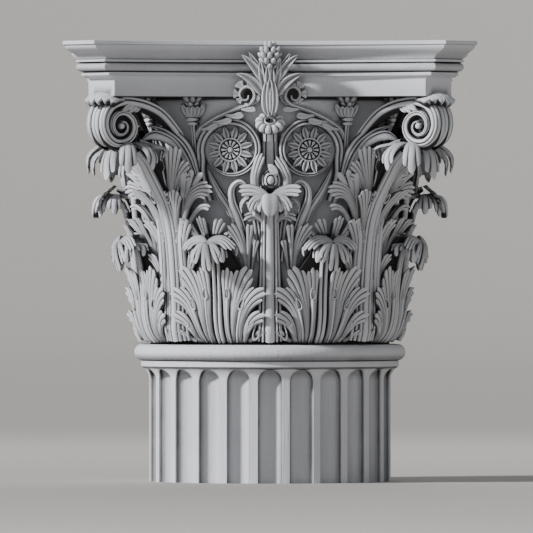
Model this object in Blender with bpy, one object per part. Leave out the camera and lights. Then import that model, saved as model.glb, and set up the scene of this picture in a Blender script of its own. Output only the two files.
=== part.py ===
"""The top of a Corinthian column: a carved capital standing on the head of its fluted shaft.

Two stones, in metres, +Z up, with the origin at the centre of the sawn foot of the shaft.
The front of the capital looks along -Y. Its carving repeats on four sides and is the same
on both sides of each, so every ornament is made once and turned or mirrored into place.
"""

import math

import bmesh
import bpy
from mathutils import Matrix, Vector

# Shaft: radius at the neck and the length from the sawn foot to the bed joint of the capital.
NECK_RADIUS = 0.300
SHAFT_LENGTH = 0.349
FLUTE_COUNT = 24
FLUTE_FILLET = 0.0205
FLUTE_HEAD_DROP = 0.016

# Astragal, the moulding at the head of the shaft: heights, and projections beyond the neck.
BED_FILLET_HEIGHT = 0.009
BED_FILLET_PROJECTION = -0.004
TORUS_HEIGHT = 0.041
TORUS_PROJECTION = 0.037
CINCTURE_HEIGHT = 0.014
CINCTURE_PROJECTION = 0.019
APOPHYGE_HEIGHT = 0.022

# Capital: the dry bed joint, the carved bell, and the abacus on top of it.
BED_JOINT = 0.0003
BELL_HEIGHT = 0.5957
BELL_FOOT_RADIUS = 0.297
BELL_FLARE = 0.042
ABACUS_CORNER = 0.441
ABACUS_CHAMFER = 0.063
ABACUS_HOLLOW = 0.093
BAND_HEIGHT = 0.046
BAND_FILLET_HEIGHT = 0.011
BEAD_HEIGHT = 0.022
LIST_HEIGHT = 0.008
CYMA_HEIGHT = 0.036
TOP_LIP_HEIGHT = 0.012
CYMA_SETBACK = 0.002
BAND_FILLET_PROJECTION = 0.015
BEAD_PROJECTION = 0.028
LIST_PROJECTION = 0.027
TOP_LIP_PROJECTION = 0.063

# Facets: how finely round forms are divided.
TURNED_SIDES = 48
BELL_SIDES = 24
HOLLOW_STEPS = 6
TUBE_SIDES = 6

CAPITAL_FOOT = SHAFT_LENGTH + BED_JOINT
ABACUS_FOOT = CAPITAL_FOOT + BELL_HEIGHT
CAPITAL_TOP = ABACUS_FOOT + (
    BAND_HEIGHT + BAND_FILLET_HEIGHT + BEAD_HEIGHT + LIST_HEIGHT + CYMA_HEIGHT + TOP_LIP_HEIGHT
)
# Distance from the axis to the chamfered corner of the abacus band, which the carving reaches.
CORNER_REACH = (2 * ABACUS_CORNER - ABACUS_CHAMFER) / math.sqrt(2)
CARVING_SPAN = CORNER_REACH - BELL_FOOT_RADIUS

STONE_COLOUR = (0.62, 0.63, 0.66, 1.0)
SHAFT_COLOUR = (0.60, 0.61, 0.64, 1.0)


def clear_scene():
    for obj in list(bpy.data.objects):
        bpy.data.objects.remove(obj)


def stone(name, colour):
    material = bpy.data.materials.new(name)
    material.use_nodes = True
    shader = material.node_tree.nodes["Principled BSDF"]
    shader.inputs["Base Color"].default_value = colour
    shader.inputs["Roughness"].default_value = 0.78
    shader.inputs["Metallic"].default_value = 0.0
    return material


def out(share):
    """Distance from the axis: 0 at the foot of the bell, 1 under the corner of the abacus."""
    return BELL_FOOT_RADIUS + share * CARVING_SPAN


def up(share):
    """Height: 0 at the foot of the capital, 1 at the underside of the abacus."""
    return CAPITAL_FOOT + share * BELL_HEIGHT


def size(share):
    """A width, thickness or relief of the carving, as a share of the bell's height."""
    return share * BELL_HEIGHT


def round_axis(radius, height, azimuth):
    """A point at an azimuth in degrees, 0 at the front and growing towards +X."""
    angle = math.radians(azimuth)
    return Vector((radius * math.sin(angle), -radius * math.cos(angle), height))


def smooth_curve(controls, steps):
    """Points along a Catmull-Rom curve through the control points, evenly spaced along it."""
    points = [Vector(c) for c in controls]
    padded = [2 * points[0] - points[1], *points, 2 * points[-1] - points[-2]]
    dense = []
    per_span = 12
    for a, b, c, d in zip(padded, padded[1:], padded[2:], padded[3:]):
        for i in range(per_span):
            t = i / per_span
            dense.append(
                0.5
                * (
                    2 * b
                    + (c - a) * t
                    + (2 * a - 5 * b + 4 * c - d) * t**2
                    + (3 * b - a - 3 * c + d) * t**3
                )
            )
    dense.append(points[-1])
    lengths = [0.0]
    for a, b in zip(dense, dense[1:]):
        lengths.append(lengths[-1] + (b - a).length)
    found = []
    for share in steps:
        wanted = share * lengths[-1]
        k = max(i for i in range(len(lengths) - 1) if lengths[i] <= wanted + 1e-12)
        span = lengths[k + 1] - lengths[k]
        found.append(dense[k].lerp(dense[k + 1], (wanted - lengths[k]) / span))
    return found


def even(count):
    return [i / count for i in range(count + 1)]


def mesh_object(name, bm):
    bmesh.ops.recalc_face_normals(bm, faces=bm.faces)
    mesh = bpy.data.meshes.new(name)
    bm.to_mesh(mesh)
    bm.free()
    mesh.shade_smooth()
    mesh.set_sharp_from_angle(angle=math.radians(32))
    return bpy.data.objects.new(name, mesh)


def turned(name, profile, sides):
    """A solid of revolution about Z from a profile of (radius, height) that starts and ends on the axis."""
    bm = bmesh.new()
    verts = [bm.verts.new((r, 0.0, z)) for r, z in profile]
    edges = [bm.edges.new(pair) for pair in zip(verts, verts[1:])]
    bmesh.ops.spin(
        bm,
        geom=verts + edges,
        cent=(0, 0, 0),
        axis=(0, 0, 1),
        angle=math.tau,
        steps=sides,
        use_merge=True,
    )
    bmesh.ops.remove_doubles(bm, verts=bm.verts, dist=1e-6)
    return mesh_object(name, bm)


def lofted(name, rings):
    """A closed solid with flat ends through rings that all have the same number of points."""
    bm = bmesh.new()
    loops = [[bm.verts.new(point) for point in ring] for ring in rings]
    for lower, upper in zip(loops, loops[1:]):
        for i, vert in enumerate(lower):
            bm.faces.new((vert, lower[i - 1], upper[i - 1], upper[i]))
    bm.faces.new(loops[0])
    bm.faces.new(loops[-1])
    return mesh_object(name, bm)


def tube(name, points, radii, sides=TUBE_SIDES):
    """A round stem through the points, with a radius at each."""
    curve = bpy.data.curves.new(name, "CURVE")
    curve.dimensions = "3D"
    curve.bevel_depth = 1.0
    curve.bevel_resolution = max(0, (sides - 4) // 2)
    curve.use_fill_caps = True
    spline = curve.splines.new("POLY")
    spline.points.add(len(points) - 1)
    for point, place, radius in zip(spline.points, points, radii):
        point.co = (*place, 1.0)
        point.radius = radius
    return baked(bpy.data.objects.new(name, curve))


def baked(obj):
    """The object as a plain mesh with its own coordinates, as its modifiers or bevel leave it."""
    bpy.context.scene.collection.objects.link(obj)
    bpy.context.view_layer.update()
    graph = bpy.context.evaluated_depsgraph_get()
    mesh = bpy.data.meshes.new_from_object(obj.evaluated_get(graph))
    name = obj.name
    bpy.data.objects.remove(obj)
    bm = bmesh.new()
    bm.from_mesh(mesh)
    bmesh.ops.remove_doubles(bm, verts=bm.verts, dist=1e-6)
    return mesh_object(name, bm)


def fluted_shaft():
    """The head of the shaft: a turned drum and its astragal, with round-headed flutes cut in."""
    neck = NECK_RADIUS
    bed_fillet_foot = SHAFT_LENGTH - BED_FILLET_HEIGHT
    torus_foot = bed_fillet_foot - TORUS_HEIGHT
    cincture_foot = torus_foot - CINCTURE_HEIGHT
    apophyge_foot = cincture_foot - APOPHYGE_HEIGHT
    profile = [(0.0, 0.0), (neck, 0.0), (neck, apophyge_foot)]
    profile += [
        (
            neck + CINCTURE_PROJECTION * 0.8 * (1 - math.cos(a)),
            apophyge_foot + APOPHYGE_HEIGHT * math.sin(a),
        )
        for a in (math.radians(60), math.radians(90))
    ]
    profile += [(neck + CINCTURE_PROJECTION, cincture_foot), (neck + CINCTURE_PROJECTION, torus_foot)]
    half = TORUS_HEIGHT / 2
    profile += [
        (
            neck + TORUS_PROJECTION - half + half * math.cos(a),
            torus_foot + half + half * math.sin(a),
        )
        for a in [math.radians(d) for d in (-60, -20, 20, 60)]
    ]
    bed = neck + BED_FILLET_PROJECTION
    profile += [(bed, bed_fillet_foot), (bed, SHAFT_LENGTH), (0.0, SHAFT_LENGTH)]
    shaft = turned("fluted_shaft", profile, TURNED_SIDES)

    flute_radius = (math.tau * neck / FLUTE_COUNT - FLUTE_FILLET) / 2
    head = apophyge_foot + APOPHYGE_HEIGHT - FLUTE_HEAD_DROP - flute_radius
    below = -flute_radius
    cutter_profile = [(0.0, below), (flute_radius, below), (flute_radius, head)]
    cutter_profile += [
        (flute_radius * math.cos(a), head + flute_radius * math.sin(a))
        for a in (math.radians(45), math.radians(90))
    ]
    cutter_profile[-1] = (0.0, head + flute_radius)
    flutes = []
    for k in range(FLUTE_COUNT):
        cutter = turned(f"flute_cutter_{k:02d}", cutter_profile, 8)
        cutter.location = round_axis(neck, 0.0, 360 * k / FLUTE_COUNT)
        flutes.append(cutter)
    return carve(shaft, flutes, "DIFFERENCE")


def carve(obj, others, operation):
    """Joins the others to the object, or cuts them out of it, and leaves them hidden as guides."""
    guides = bpy.data.collections.new(obj.name + "_" + operation.lower())
    bpy.context.scene.collection.children.link(guides)
    for other in others:
        guides.objects.link(other)
        other.hide_render = True
        other.display_type = "WIRE"
    modifier = obj.modifiers.new(operation.title(), "BOOLEAN")
    modifier.operation = operation
    modifier.operand_type = "COLLECTION"
    modifier.collection = guides
    modifier.solver = "EXACT"
    bpy.context.scene.collection.objects.link(obj)
    return obj


def bell():
    """The core of the capital: a basket that flares to a lip under the abacus."""
    profile = [
        (0.0, up(0)),
        (out(0), up(0)),
        (out(0.015), up(0.55)),
        (out(0.06), up(0.80)),
        (BELL_FOOT_RADIUS + BELL_FLARE, up(0.95)),
        (BELL_FOOT_RADIUS + BELL_FLARE, up(1) + BAND_HEIGHT / 3),
        (0.0, up(1) + BAND_HEIGHT / 3),
    ]
    return turned("capital", profile, BELL_SIDES)


def abacus_plan(corner, height):
    """One level of the abacus: four hollow sides and four chamfered corners."""
    scale = corner / ABACUS_CORNER
    half = corner - ABACUS_CHAMFER * scale
    hollow = ABACUS_HOLLOW * scale
    ring = []
    for side in range(4):
        turn = Matrix.Rotation(math.radians(90 * side), 3, "Z")
        for share in even(HOLLOW_STEPS):
            x = half * (2 * share - 1)
            y = -corner + hollow * (1 - (x / half) ** 2)
            ring.append(turn @ Vector((x, y, height)))
    return ring


def abacus():
    """The moulded slab: plain band, fillet, bead, list, cyma and lip, from the bottom up."""
    corner = ABACUS_CORNER
    z = ABACUS_FOOT
    levels = [(corner, z)]
    z += BAND_HEIGHT
    levels += [(corner + BAND_FILLET_PROJECTION, z)]
    z += BAND_FILLET_HEIGHT
    levels += [(corner + BAND_FILLET_PROJECTION, z)]
    half = BEAD_HEIGHT / 2
    levels += [
        (corner + BEAD_PROJECTION - half + half * math.cos(a), z + half + half * math.sin(a))
        for a in [math.radians(d) for d in (-45, 45)]
    ]
    z += BEAD_HEIGHT
    levels += [(corner + LIST_PROJECTION, z), (corner + LIST_PROJECTION, z + LIST_HEIGHT)]
    z += LIST_HEIGHT
    foot, lip = corner + LIST_PROJECTION - CYMA_SETBACK, corner + TOP_LIP_PROJECTION
    levels += [
        (foot + (lip - foot) * s * s * (3 - 2 * s), z + CYMA_HEIGHT * s) for s in (0.35, 0.65, 1.0)
    ]
    levels += [(lip, CAPITAL_TOP)]
    return lofted("abacus", [abacus_plan(c, h) for c, h in levels])


def leaf(name, azimuth, path, rows, free_from, droop):
    """An acanthus leaf that rises up the bell and curls over at its tip.

    path holds (out, up) shares of the midrib. Each row is (share of the midrib's length,
    half width, lift of the edge), the last two as shares of the bell's height: rows at the
    points of the lobes and in the notches between them draw the lobed edge. Beyond
    free_from the blade stands free, and droop bends its sides down.
    """
    midrib = [(out(o), up(u)) for o, u in path]
    spine = smooth_curve(midrib, [r[0] for r in rows])
    ahead = smooth_curve(midrib, [min(1, r[0] + 0.02) for r in rows])
    behind = smooth_curve(midrib, [max(0, r[0] - 0.02) for r in rows])
    rib, groove, thickness, buried = 0.012, -0.014, size(0.024), out(-0.04)
    rings = []
    for (share, half_width, lift), point, a, b in zip(rows, spine, ahead, behind):
        tangent = (a - b).normalized()
        normal = Vector((tangent.y, -tangent.x)) if share > 0 else Vector((1, 0))
        free = share > free_from
        side = -1 if free else 1
        front, back = [], []
        for across, relief in zip((-1, -0.5, 0, 0.5, 1), (lift, groove, rib, groove, lift)):
            x = across * size(half_width)
            sag = droop * x * x / size(1) if free else 0.0
            top = point + normal * side * size(relief)
            under = top - normal * thickness if free else Vector((buried, point.y))
            turn = azimuth + math.degrees(x / point.x)
            front.append(round_axis(top.x - sag / 2, top.y - sag, turn))
            back.append(round_axis(under.x - sag / 2, under.y - sag, turn))
        rings.append(front + back[::-1])
    return lofted(name, rings)


LOWER_PATH = [
    (0.03, 0.0), (0.10, 0.04), (0.12, 0.12), (0.13, 0.22), (0.16, 0.33),
    (0.20, 0.395), (0.25, 0.415), (0.285, 0.39), (0.29, 0.35), (0.26, 0.315),
]
LOWER_ROWS = [
    (0.00, 0.140, 0.000), (0.12, 0.172, 0.014), (0.19, 0.142, -0.010), (0.31, 0.184, 0.016),
    (0.39, 0.146, -0.010), (0.52, 0.178, 0.018), (0.67, 0.108, 0.004), (0.82, 0.116, 0.004),
    (1.00, 0.018, -0.010),
]
MIDDLE_PATH = [
    (0.03, 0.0), (0.095, 0.05), (0.105, 0.2), (0.12, 0.35), (0.15, 0.5),
    (0.21, 0.59), (0.29, 0.618), (0.36, 0.60), (0.385, 0.55), (0.36, 0.50),
]
MIDDLE_ROWS = [
    (0.00, 0.040, 0.000), (0.20, 0.030, -0.012), (0.34, 0.045, -0.014),
    (0.44, 0.145, -0.008), (0.50, 0.115, -0.018), (0.58, 0.165, 0.008), (0.70, 0.080, 0.000),
    (0.84, 0.118, 0.006), (1.00, 0.016, -0.010),
]
CORNER_PATH = [
    (0.03, 0.0), (0.095, 0.05), (0.11, 0.25), (0.145, 0.42), (0.22, 0.56),
    (0.40, 0.70), (0.55, 0.785), (0.66, 0.815), (0.76, 0.79), (0.80, 0.73), (0.78, 0.665),
]
CORNER_ROWS = [
    (0.00, 0.040, 0.000), (0.24, 0.028, -0.014), (0.38, 0.120, -0.010),
    (0.45, 0.080, -0.012), (0.53, 0.130, 0.000), (0.66, 0.056, -0.004),
    (0.82, 0.125, 0.012), (0.92, 0.090, -0.004), (1.00, 0.020, -0.010),
]


def acanthus():
    leaves = []
    for k in range(8):
        leaves.append(leaf(f"lower_leaf_{k}", 22.5 + 45 * k, LOWER_PATH, LOWER_ROWS, 0.70, 1.2))
    for k in range(4):
        leaves.append(leaf(f"middle_leaf_{k}", 90 * k, MIDDLE_PATH, MIDDLE_ROWS, 0.70, 1.2))
        leaves.append(leaf(f"corner_leaf_{k}", 45 + 90 * k, CORNER_PATH, CORNER_ROWS, 0.60, 1.0))
    return leaves


def all_round(made):
    """The ornament and its mirror image, on each of the four sides: the first is made at the front."""
    copies = []
    for side in range(4):
        for hand in (1, -1):
            place = Matrix.Rotation(math.radians(90 * side), 4, "Z") @ Matrix.Diagonal((hand, 1, 1, 1))
            bm = bmesh.new()
            bm.from_mesh(made.data)
            bm.transform(place)
            copies.append(mesh_object(f"{made.name}_{side}{'ab'[hand < 0]}", bm))
    bpy.data.objects.remove(made)
    return copies


def each_side(made):
    """The ornament on the middle of each side: the first is made at the front."""
    copies = all_round(made)
    for twin in copies[1::2]:
        bpy.data.objects.remove(twin)
    return copies[0::2]


def in_round(points):
    """Points from (out, up, azimuth in degrees)."""
    return [round_axis(out(o), up(u), azimuth) for o, u, azimuth in points]


def blade(name, points, half_widths, relief, facing, steps):
    """A small leaf with a ridge along its front, through the points, as wide as half_widths say."""
    spine = smooth_curve(points, even(steps))
    front = round_axis(1.0, 0.0, facing)
    rings = []
    for i, point in enumerate(spine):
        ahead = spine[min(i + 1, steps)] - spine[max(i - 1, 0)]
        side = ahead.cross(front).normalized()
        lift = side.cross(ahead).normalized()
        place = i / steps * (len(half_widths) - 1)
        k = min(int(place), len(half_widths) - 2)
        half = size(half_widths[k] + (half_widths[k + 1] - half_widths[k]) * (place - k))
        rings.append(
            [point + side * half, point + lift * size(relief), point - side * half, point - lift * size(relief)]
        )
    return lofted(name, rings)


VOLUTE_ROOT = (0.135, 31.5)
VOLUTE_END = (1.09, 42.6)
VOLUTE_STEM = [
    (0.00, 0.698), (0.15, 0.855), (0.45, 0.965),
]
VOLUTE_EYE = (0.748, 0.871)
VOLUTE_RADIUS_SHARE = 0.124
VOLUTE_WINDING_RATE = 0.129
VOLUTE_TURNS = 1.35
VOLUTE_STRAP_SHARE = 0.052
VOLUTE_DEPTH_SHARE = 0.040


def volute():
    """A spiral stem in an upright plane that runs from the bell to the corner of the abacus."""
    root = round_axis(out(VOLUTE_ROOT[0]), 0.0, VOLUTE_ROOT[1])
    heading = round_axis(out(VOLUTE_END[0]), 0.0, VOLUTE_END[1]) - root
    across = Vector((-heading.y, heading.x, 0)).normalized()
    reach = heading.length

    def placed(q, height):
        return root + heading * q + Vector((0, 0, height))

    centre_line = [Vector((q * reach, up(u))) for q, u in VOLUTE_STEM]
    centre = Vector((VOLUTE_EYE[0] * reach, up(VOLUTE_EYE[1])))
    steps = round(VOLUTE_TURNS * 7.5)
    for i in range(steps + 1):
        turn = math.tau * VOLUTE_TURNS * i / steps
        radius = size(VOLUTE_RADIUS_SHARE) * math.exp(-VOLUTE_WINDING_RATE * turn)
        centre_line.append(centre + radius * Vector((math.sin(turn), math.cos(turn))))
    rings = []
    for i, point in enumerate(centre_line):
        share = i / (len(centre_line) - 1)
        ahead = centre_line[min(i + 1, len(centre_line) - 1)] - centre_line[max(i - 1, 0)]
        outward = Vector((-ahead.y, ahead.x)).normalized()
        half = size(VOLUTE_STRAP_SHARE) / 2 * (1.1 - 0.5 * share)
        depth = size(VOLUTE_DEPTH_SHARE) * (0.55 + 0.45 * min(1, 2.2 * share))
        edge, inner = point + outward * half, point - outward * half
        rings.append(
            [
                placed(edge.x / reach, edge.y) + across * depth,
                placed(inner.x / reach, inner.y) + across * depth,
                placed(inner.x / reach, inner.y) - across * depth,
                placed(edge.x / reach, edge.y) - across * depth,
            ]
        )
    return lofted("volute", rings)


ROSETTE_CENTRE = (0.135, 0.783, 16.7)
ROSETTE_FACING = 13.0
RING_RADIUS_SHARE = 0.134


def rosette_ring():
    """The inner scroll closed to a ring, with a rosette on the disc inside it."""
    r = size(RING_RADIUS_SHARE)
    profile = [
        (0.0, -0.4 * r), (r, -0.4 * r), (r, 0.12 * r), (0.80 * r, 0.12 * r), (0.74 * r, -0.06 * r),
        (0.0, 0.10 * r),
    ]
    ring = turned("rosette_ring", profile, 8)
    centre = round_axis(out(ROSETTE_CENTRE[0]), up(ROSETTE_CENTRE[1]), ROSETTE_CENTRE[2])
    facing = round_axis(1.0, 0.0, ROSETTE_FACING)
    across = Vector((-facing.y, facing.x, 0))
    place = Matrix((across, Vector((0, 0, 1)), facing)).transposed().to_4x4()
    place.translation = centre
    ring.data.transform(place)
    return ring


def stems():
    """Stalks, scrolls and berry flowers that rise between the leaves, on both sides of each face."""
    branch = in_round(
        [(0.14, 0.900, 22.5), (0.19, 0.945, 15.5), (0.27, 0.965, 7.0), (0.33, 1.015, 4.0),
         (0.335, 1.050, 8.5), (0.33, 1.010, 12.0)]
    )
    flower = in_round(
        [(0.10, 0.70, 31.5), (0.34, 0.905, 27.0), (0.40, 0.960, 26.2), (0.42, 1.005, 26.0),
         (0.43, 1.045, 26.0)]
    )
    return [
        tube("branch", branch, [size(s) for s in (0.014, 0.020, 0.018, 0.022, 0.026, 0.016)], 4),
        tube("berry_flower", flower, [size(s) for s in (0.014, 0.020, 0.072, 0.052, 0.016)]),
    ]


def calyx_leaves():
    """The small leaves: two that wrap each stalk, one behind each lower tip, one on each volute."""
    return [
        blade("inner_calyx", in_round([(0.09, 0.33, 10.0), (0.13, 0.47, 17.0), (0.19, 0.59, 26.0),
              (0.30, 0.665, 30.5), (0.32, 0.605, 33.5)]), (0.030, 0.034, 0.085, 0.080, 0.008), 0.030, 20, 5),
        blade("outer_calyx", in_round([(0.10, 0.58, 30.5), (0.19, 0.68, 34.5), (0.28, 0.775, 38.0),
              (0.35, 0.780, 40.5), (0.36, 0.730, 42.0)]), (0.03, 0.070, 0.060, 0.008), 0.028, 36, 3),
    ]


def fleuron():
    """The flower in the middle of the abacus: a round bloom, its calyx and the berries on top."""
    bloom = in_round(
        [(0.12, 0.86, 0), (0.25, 0.905, 0), (0.32, 0.99, 0), (0.42, 1.09, 0), (0.455, 1.165, 0),
         (0.455, 1.222, 0)]
    )
    return tube("bloom", bloom, [size(s) for s in (0.030, 0.052, 0.030, 0.040, 0.048, 0.024)])


def fleuron_leaf():
    """One of the two leaves that spread beside the berries of the fleuron."""
    return blade("fleuron_leaf", in_round([(0.41, 1.03, 0.5), (0.45, 1.10, 4.0), (0.47, 1.165, 9.5)]),
                 (0.03, 0.046, 0.006), 0.020, 0, 2)


def ornament():
    """Everything carved above and between the leaves."""
    paired = [volute(), rosette_ring(), *stems(), *calyx_leaves(), fleuron_leaf()]
    made = [copy for piece in paired for copy in all_round(piece)]
    return made + each_side(fleuron())


def main():
    clear_scene()
    capital = carve(bell(), [abacus(), *acanthus(), *ornament()], "UNION")
    capital.data.materials.append(stone("capital_stone", STONE_COLOUR))
    shaft = fluted_shaft()
    shaft.data.materials.append(stone("shaft_stone", SHAFT_COLOUR))


main()
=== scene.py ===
"""Corinthian capital on the head of its fluted shaft: its carving, its stone and its light."""

import math

import bmesh
import bpy
import numpy as np
from bpy.props import FloatProperty, FloatVectorProperty, IntProperty, PointerProperty
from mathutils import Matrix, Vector
from mathutils.bvhtree import BVHTree
from mathutils.kdtree import KDTree


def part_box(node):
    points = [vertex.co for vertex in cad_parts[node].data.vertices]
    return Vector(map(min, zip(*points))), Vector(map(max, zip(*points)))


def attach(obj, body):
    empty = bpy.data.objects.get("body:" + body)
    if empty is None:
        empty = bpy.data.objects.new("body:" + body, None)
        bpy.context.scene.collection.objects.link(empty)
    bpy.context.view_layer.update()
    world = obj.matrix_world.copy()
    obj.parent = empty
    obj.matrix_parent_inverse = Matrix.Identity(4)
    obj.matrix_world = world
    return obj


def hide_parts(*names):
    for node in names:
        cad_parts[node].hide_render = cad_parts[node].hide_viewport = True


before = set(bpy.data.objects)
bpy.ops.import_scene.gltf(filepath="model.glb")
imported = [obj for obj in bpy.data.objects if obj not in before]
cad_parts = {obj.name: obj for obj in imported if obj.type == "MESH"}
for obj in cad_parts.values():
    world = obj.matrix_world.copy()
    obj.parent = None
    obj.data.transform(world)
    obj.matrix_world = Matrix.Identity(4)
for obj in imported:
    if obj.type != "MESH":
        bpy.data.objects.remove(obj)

bl_info = {
    "name": "Corinthian Capital",
    "version": (1, 0, 0),
    "blender": (4, 5, 0),
    "location": "View3D > Sidebar > Column",
    "description": "Carves a Corinthian capital and the head of its fluted shaft",
    "category": "Add Mesh",
}

# The carving is laid out in millimetres. A place seen from the front is (across, up), a place on
# a leaf is (across, along its midrib), and a third number is the distance from the column's axis.
MM = 0.001
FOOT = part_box("capital")[0][2]
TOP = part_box("capital")[1][2]
SHAFT_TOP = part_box("fluted_shaft")[1][2]
NECK = 0.300
ABACUS_FOOT = 945.0

# The flutes and mouldings of the shaft's head: half a flute as a share of the pitch, how far the
# flutes' ends flare out, and how far below the top the fillet starts and the half-round ring ends.
FLUTE_SHARE = 0.382
FLARE = 17.0
FILLET_DROP = 64.0
FILLET_HEIGHT = 14.2
RING_DROP = 9.5
RING_SWELL = 20.0

# The abacus: how far its lower face is set back from its lip, how deep its sides are hollowed,
# and how much of a corner is cut off.
ABACUS_SETBACK = 62.0
ABACUS_HOLLOW = 95.0
CORNER_CUT = 64.0
SIDE_POINTS = 33

# The volutes, the scrolls round the rosettes and the small scrolls under the abacus.
VOLUTE_STEM = [(326, 760), (347, 818), (377, 866), (419, 911), (460, 933), (505, 944)]
VOLUTE_EYE = (541, 873)
VOLUTE_RADII = [72, 62, 49, 44, 37, 31, 25, 19, 12]
ROSETTE_MIDDLE = (96, 816)
ROSETTE_PETALS = 12
SCROLL_OUT = 345
BRANCH_EYE = (56, 950)

# The midribs of the leaves, as (distance from the axis, height).
LOWER_BED = [(300, 349.5), (318, 372), (328, 411), (330, 460), (336, 520), (345, 565), (355, 590),
             (368, 598), (380, 583), (379, 560), (368, 540)]
MIDDLE_BED = [(312, 349.5), (325, 380), (322, 450), (330, 550), (342, 640), (358, 692), (382, 716),
              (402, 706), (412, 682), (408, 655), (398, 634)]
CORNER_BED = [(318, 349.5), (325, 380), (325, 450), (338, 598), (361, 680), (412, 761), (440, 800),
              (480, 830), (512, 822), (525, 790), (515, 750)]

# Painted shade, like ambient occlusion, is found by rays from each point: how many, how far off the surface
# they start, and how wide a seam is taken with the eighth of the plan that is worked out.
SHADE_RAYS = 14
SHADE_LIFT = 0.0012
SHADE_SEAM = 0.002
GOLDEN_ANGLE = 2.399963

# The photograph's frame, in metres: its middle, its width, and how far in front of the axis
# that width is measured.
VIEW_CENTRE = (-0.0085, 0.531)
VIEW_WIDTH = 1.295
VIEW_DEPTH = 0.45
SENSOR = 36

# The backdrop is a wide shallow bowl, the same from every side.
BOWL_RADIUS = 46.0
BOWL_WALL = 16.0
BOWL_BEND = 0.93
SKY_COLOUR = (0.93, 0.95, 1.0, 1)
SKY_STRENGTH = 0.17
SUN_ANGLE = 7


class Carving:
    """The grids of points of one piece, with a depth of cut for each point: 0 on the high parts and 1 in the
    bottom of a groove. The stone paints shade where the cut is deep and a highlight where it is near 0, and
    some cuts are set higher as painted shade under ledges and between parts."""

    def __init__(self):
        self.points, self.faces, self.cuts, self.count = [], [], [], 0

    def add(self, points, faces, cuts):
        """Takes in points, the faces between them and their cuts."""
        self.points.append(points)
        self.faces.append(faces + self.count)
        self.cuts.append(cuts)
        self.count += len(points)

    def grid(self, points, cuts, around=False, flip=False):
        """A surface through rows of points; around closes each row on itself."""
        rows, columns = points.shape[:2]
        index = np.arange(rows * columns).reshape(rows, columns)
        if around:
            index = np.concatenate([index, index[:, :1]], axis=1)
        a, b, c, d = index[:-1, :-1], index[:-1, 1:], index[1:, 1:], index[1:, :-1]
        order = (d, c, b, a) if flip else (a, b, c, d)
        faces = np.stack(order, axis=-1).reshape(-1, 4)
        self.add(points.reshape(-1, 3), faces, np.broadcast_to(cuts, (rows, columns)).reshape(-1))

    def merge(self, other):
        """Takes in all that another carving holds."""
        for points, faces, cuts in other.parts():
            self.add(points, faces, cuts)

    def parts(self):
        """Each grid as it was added: its points, faces and cuts."""
        start = 0
        for points, faces, cuts in zip(self.points, self.faces, self.cuts):
            yield points, faces - start, cuts
            start += len(points)

    def placed(self, hand, quarter_turns):
        """A copy mirrored left to right where hand is -1, then turned about the column's axis."""
        copy = Carving()
        angle = math.radians(90 * quarter_turns)
        turn = np.array([[math.cos(angle), -math.sin(angle), 0], [math.sin(angle), math.cos(angle), 0],
                         [0, 0, 1]])
        for points, faces, cuts in self.parts():
            copy.add((points * (hand, 1, 1)) @ turn.T, faces[:, ::hand], cuts)
        return copy

    def piece(self, name, slot, node, crease=50.0):
        """Makes the carving one mesh object, smooth up to an angle of crease in degrees."""
        points = np.concatenate(self.points)
        faces = np.concatenate(self.faces)
        mesh = bpy.data.meshes.new(name)
        mesh.vertices.add(len(points))
        mesh.vertices.foreach_set("co", points.astype(np.float32).ravel())
        mesh.loops.add(faces.size)
        mesh.loops.foreach_set("vertex_index", faces.astype(np.int32).ravel())
        mesh.polygons.add(len(faces))
        mesh.polygons.foreach_set("loop_start", np.arange(0, faces.size, 4, dtype=np.int32))
        mesh.update(calc_edges=True)
        cut = mesh.attributes.new("cut", "FLOAT", "POINT")
        cut.data.foreach_set("value", np.clip(np.concatenate(self.cuts), 0, 1).astype(np.float32))
        bm = bmesh.new()
        bm.from_mesh(mesh)
        bmesh.ops.remove_doubles(bm, verts=bm.verts, dist=2e-5)
        bm.to_mesh(mesh)
        bm.free()
        mesh.validate()
        mesh.shade_smooth()
        mesh.set_sharp_from_angle(angle=math.radians(crease))
        piece = bpy.data.objects.new(name, mesh)
        bpy.context.scene.collection.objects.link(piece)
        finish(piece, slot, node)


# The stone materials by slot, filled by main.
STONES = {}


def finish(piece, slot, node):
    """Gives a piece its stone, ties it to the body and hides the node that it dresses."""
    piece.data.materials.clear()
    piece.data.materials.append(STONES[slot])
    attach(piece, "root")
    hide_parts(node)


def smooth_path(controls, count=200):
    """Points evenly spaced along a smooth curve through the control points, and their distances."""
    p = np.array(controls, dtype=float)
    p = np.vstack([2 * p[0] - p[1], p, 2 * p[-1] - p[-2]])
    t = np.linspace(0, 1, 24, endpoint=False)[:, None]
    dense = [
        0.5 * (2 * b + (c - a) * t + (2 * a - 5 * b + 4 * c - d) * t**2 + (3 * b - a - 3 * c + d) * t**3)
        for a, b, c, d in zip(p, p[1:], p[2:], p[3:])
    ]
    dense = np.vstack(dense + [p[-2:-1]])
    run = np.concatenate([[0], np.cumsum(np.linalg.norm(np.diff(dense, axis=0), axis=1))])
    even = np.linspace(0, run[-1], count)
    return np.stack([np.interp(even, run, dense[:, k]) for k in range(p.shape[1])], axis=1), even


def ease(x):
    """A smooth step from 0 to 1 as x goes from 0 to 1."""
    x = np.clip(x, 0, 1)
    return x * x * (3 - 2 * x)


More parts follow.
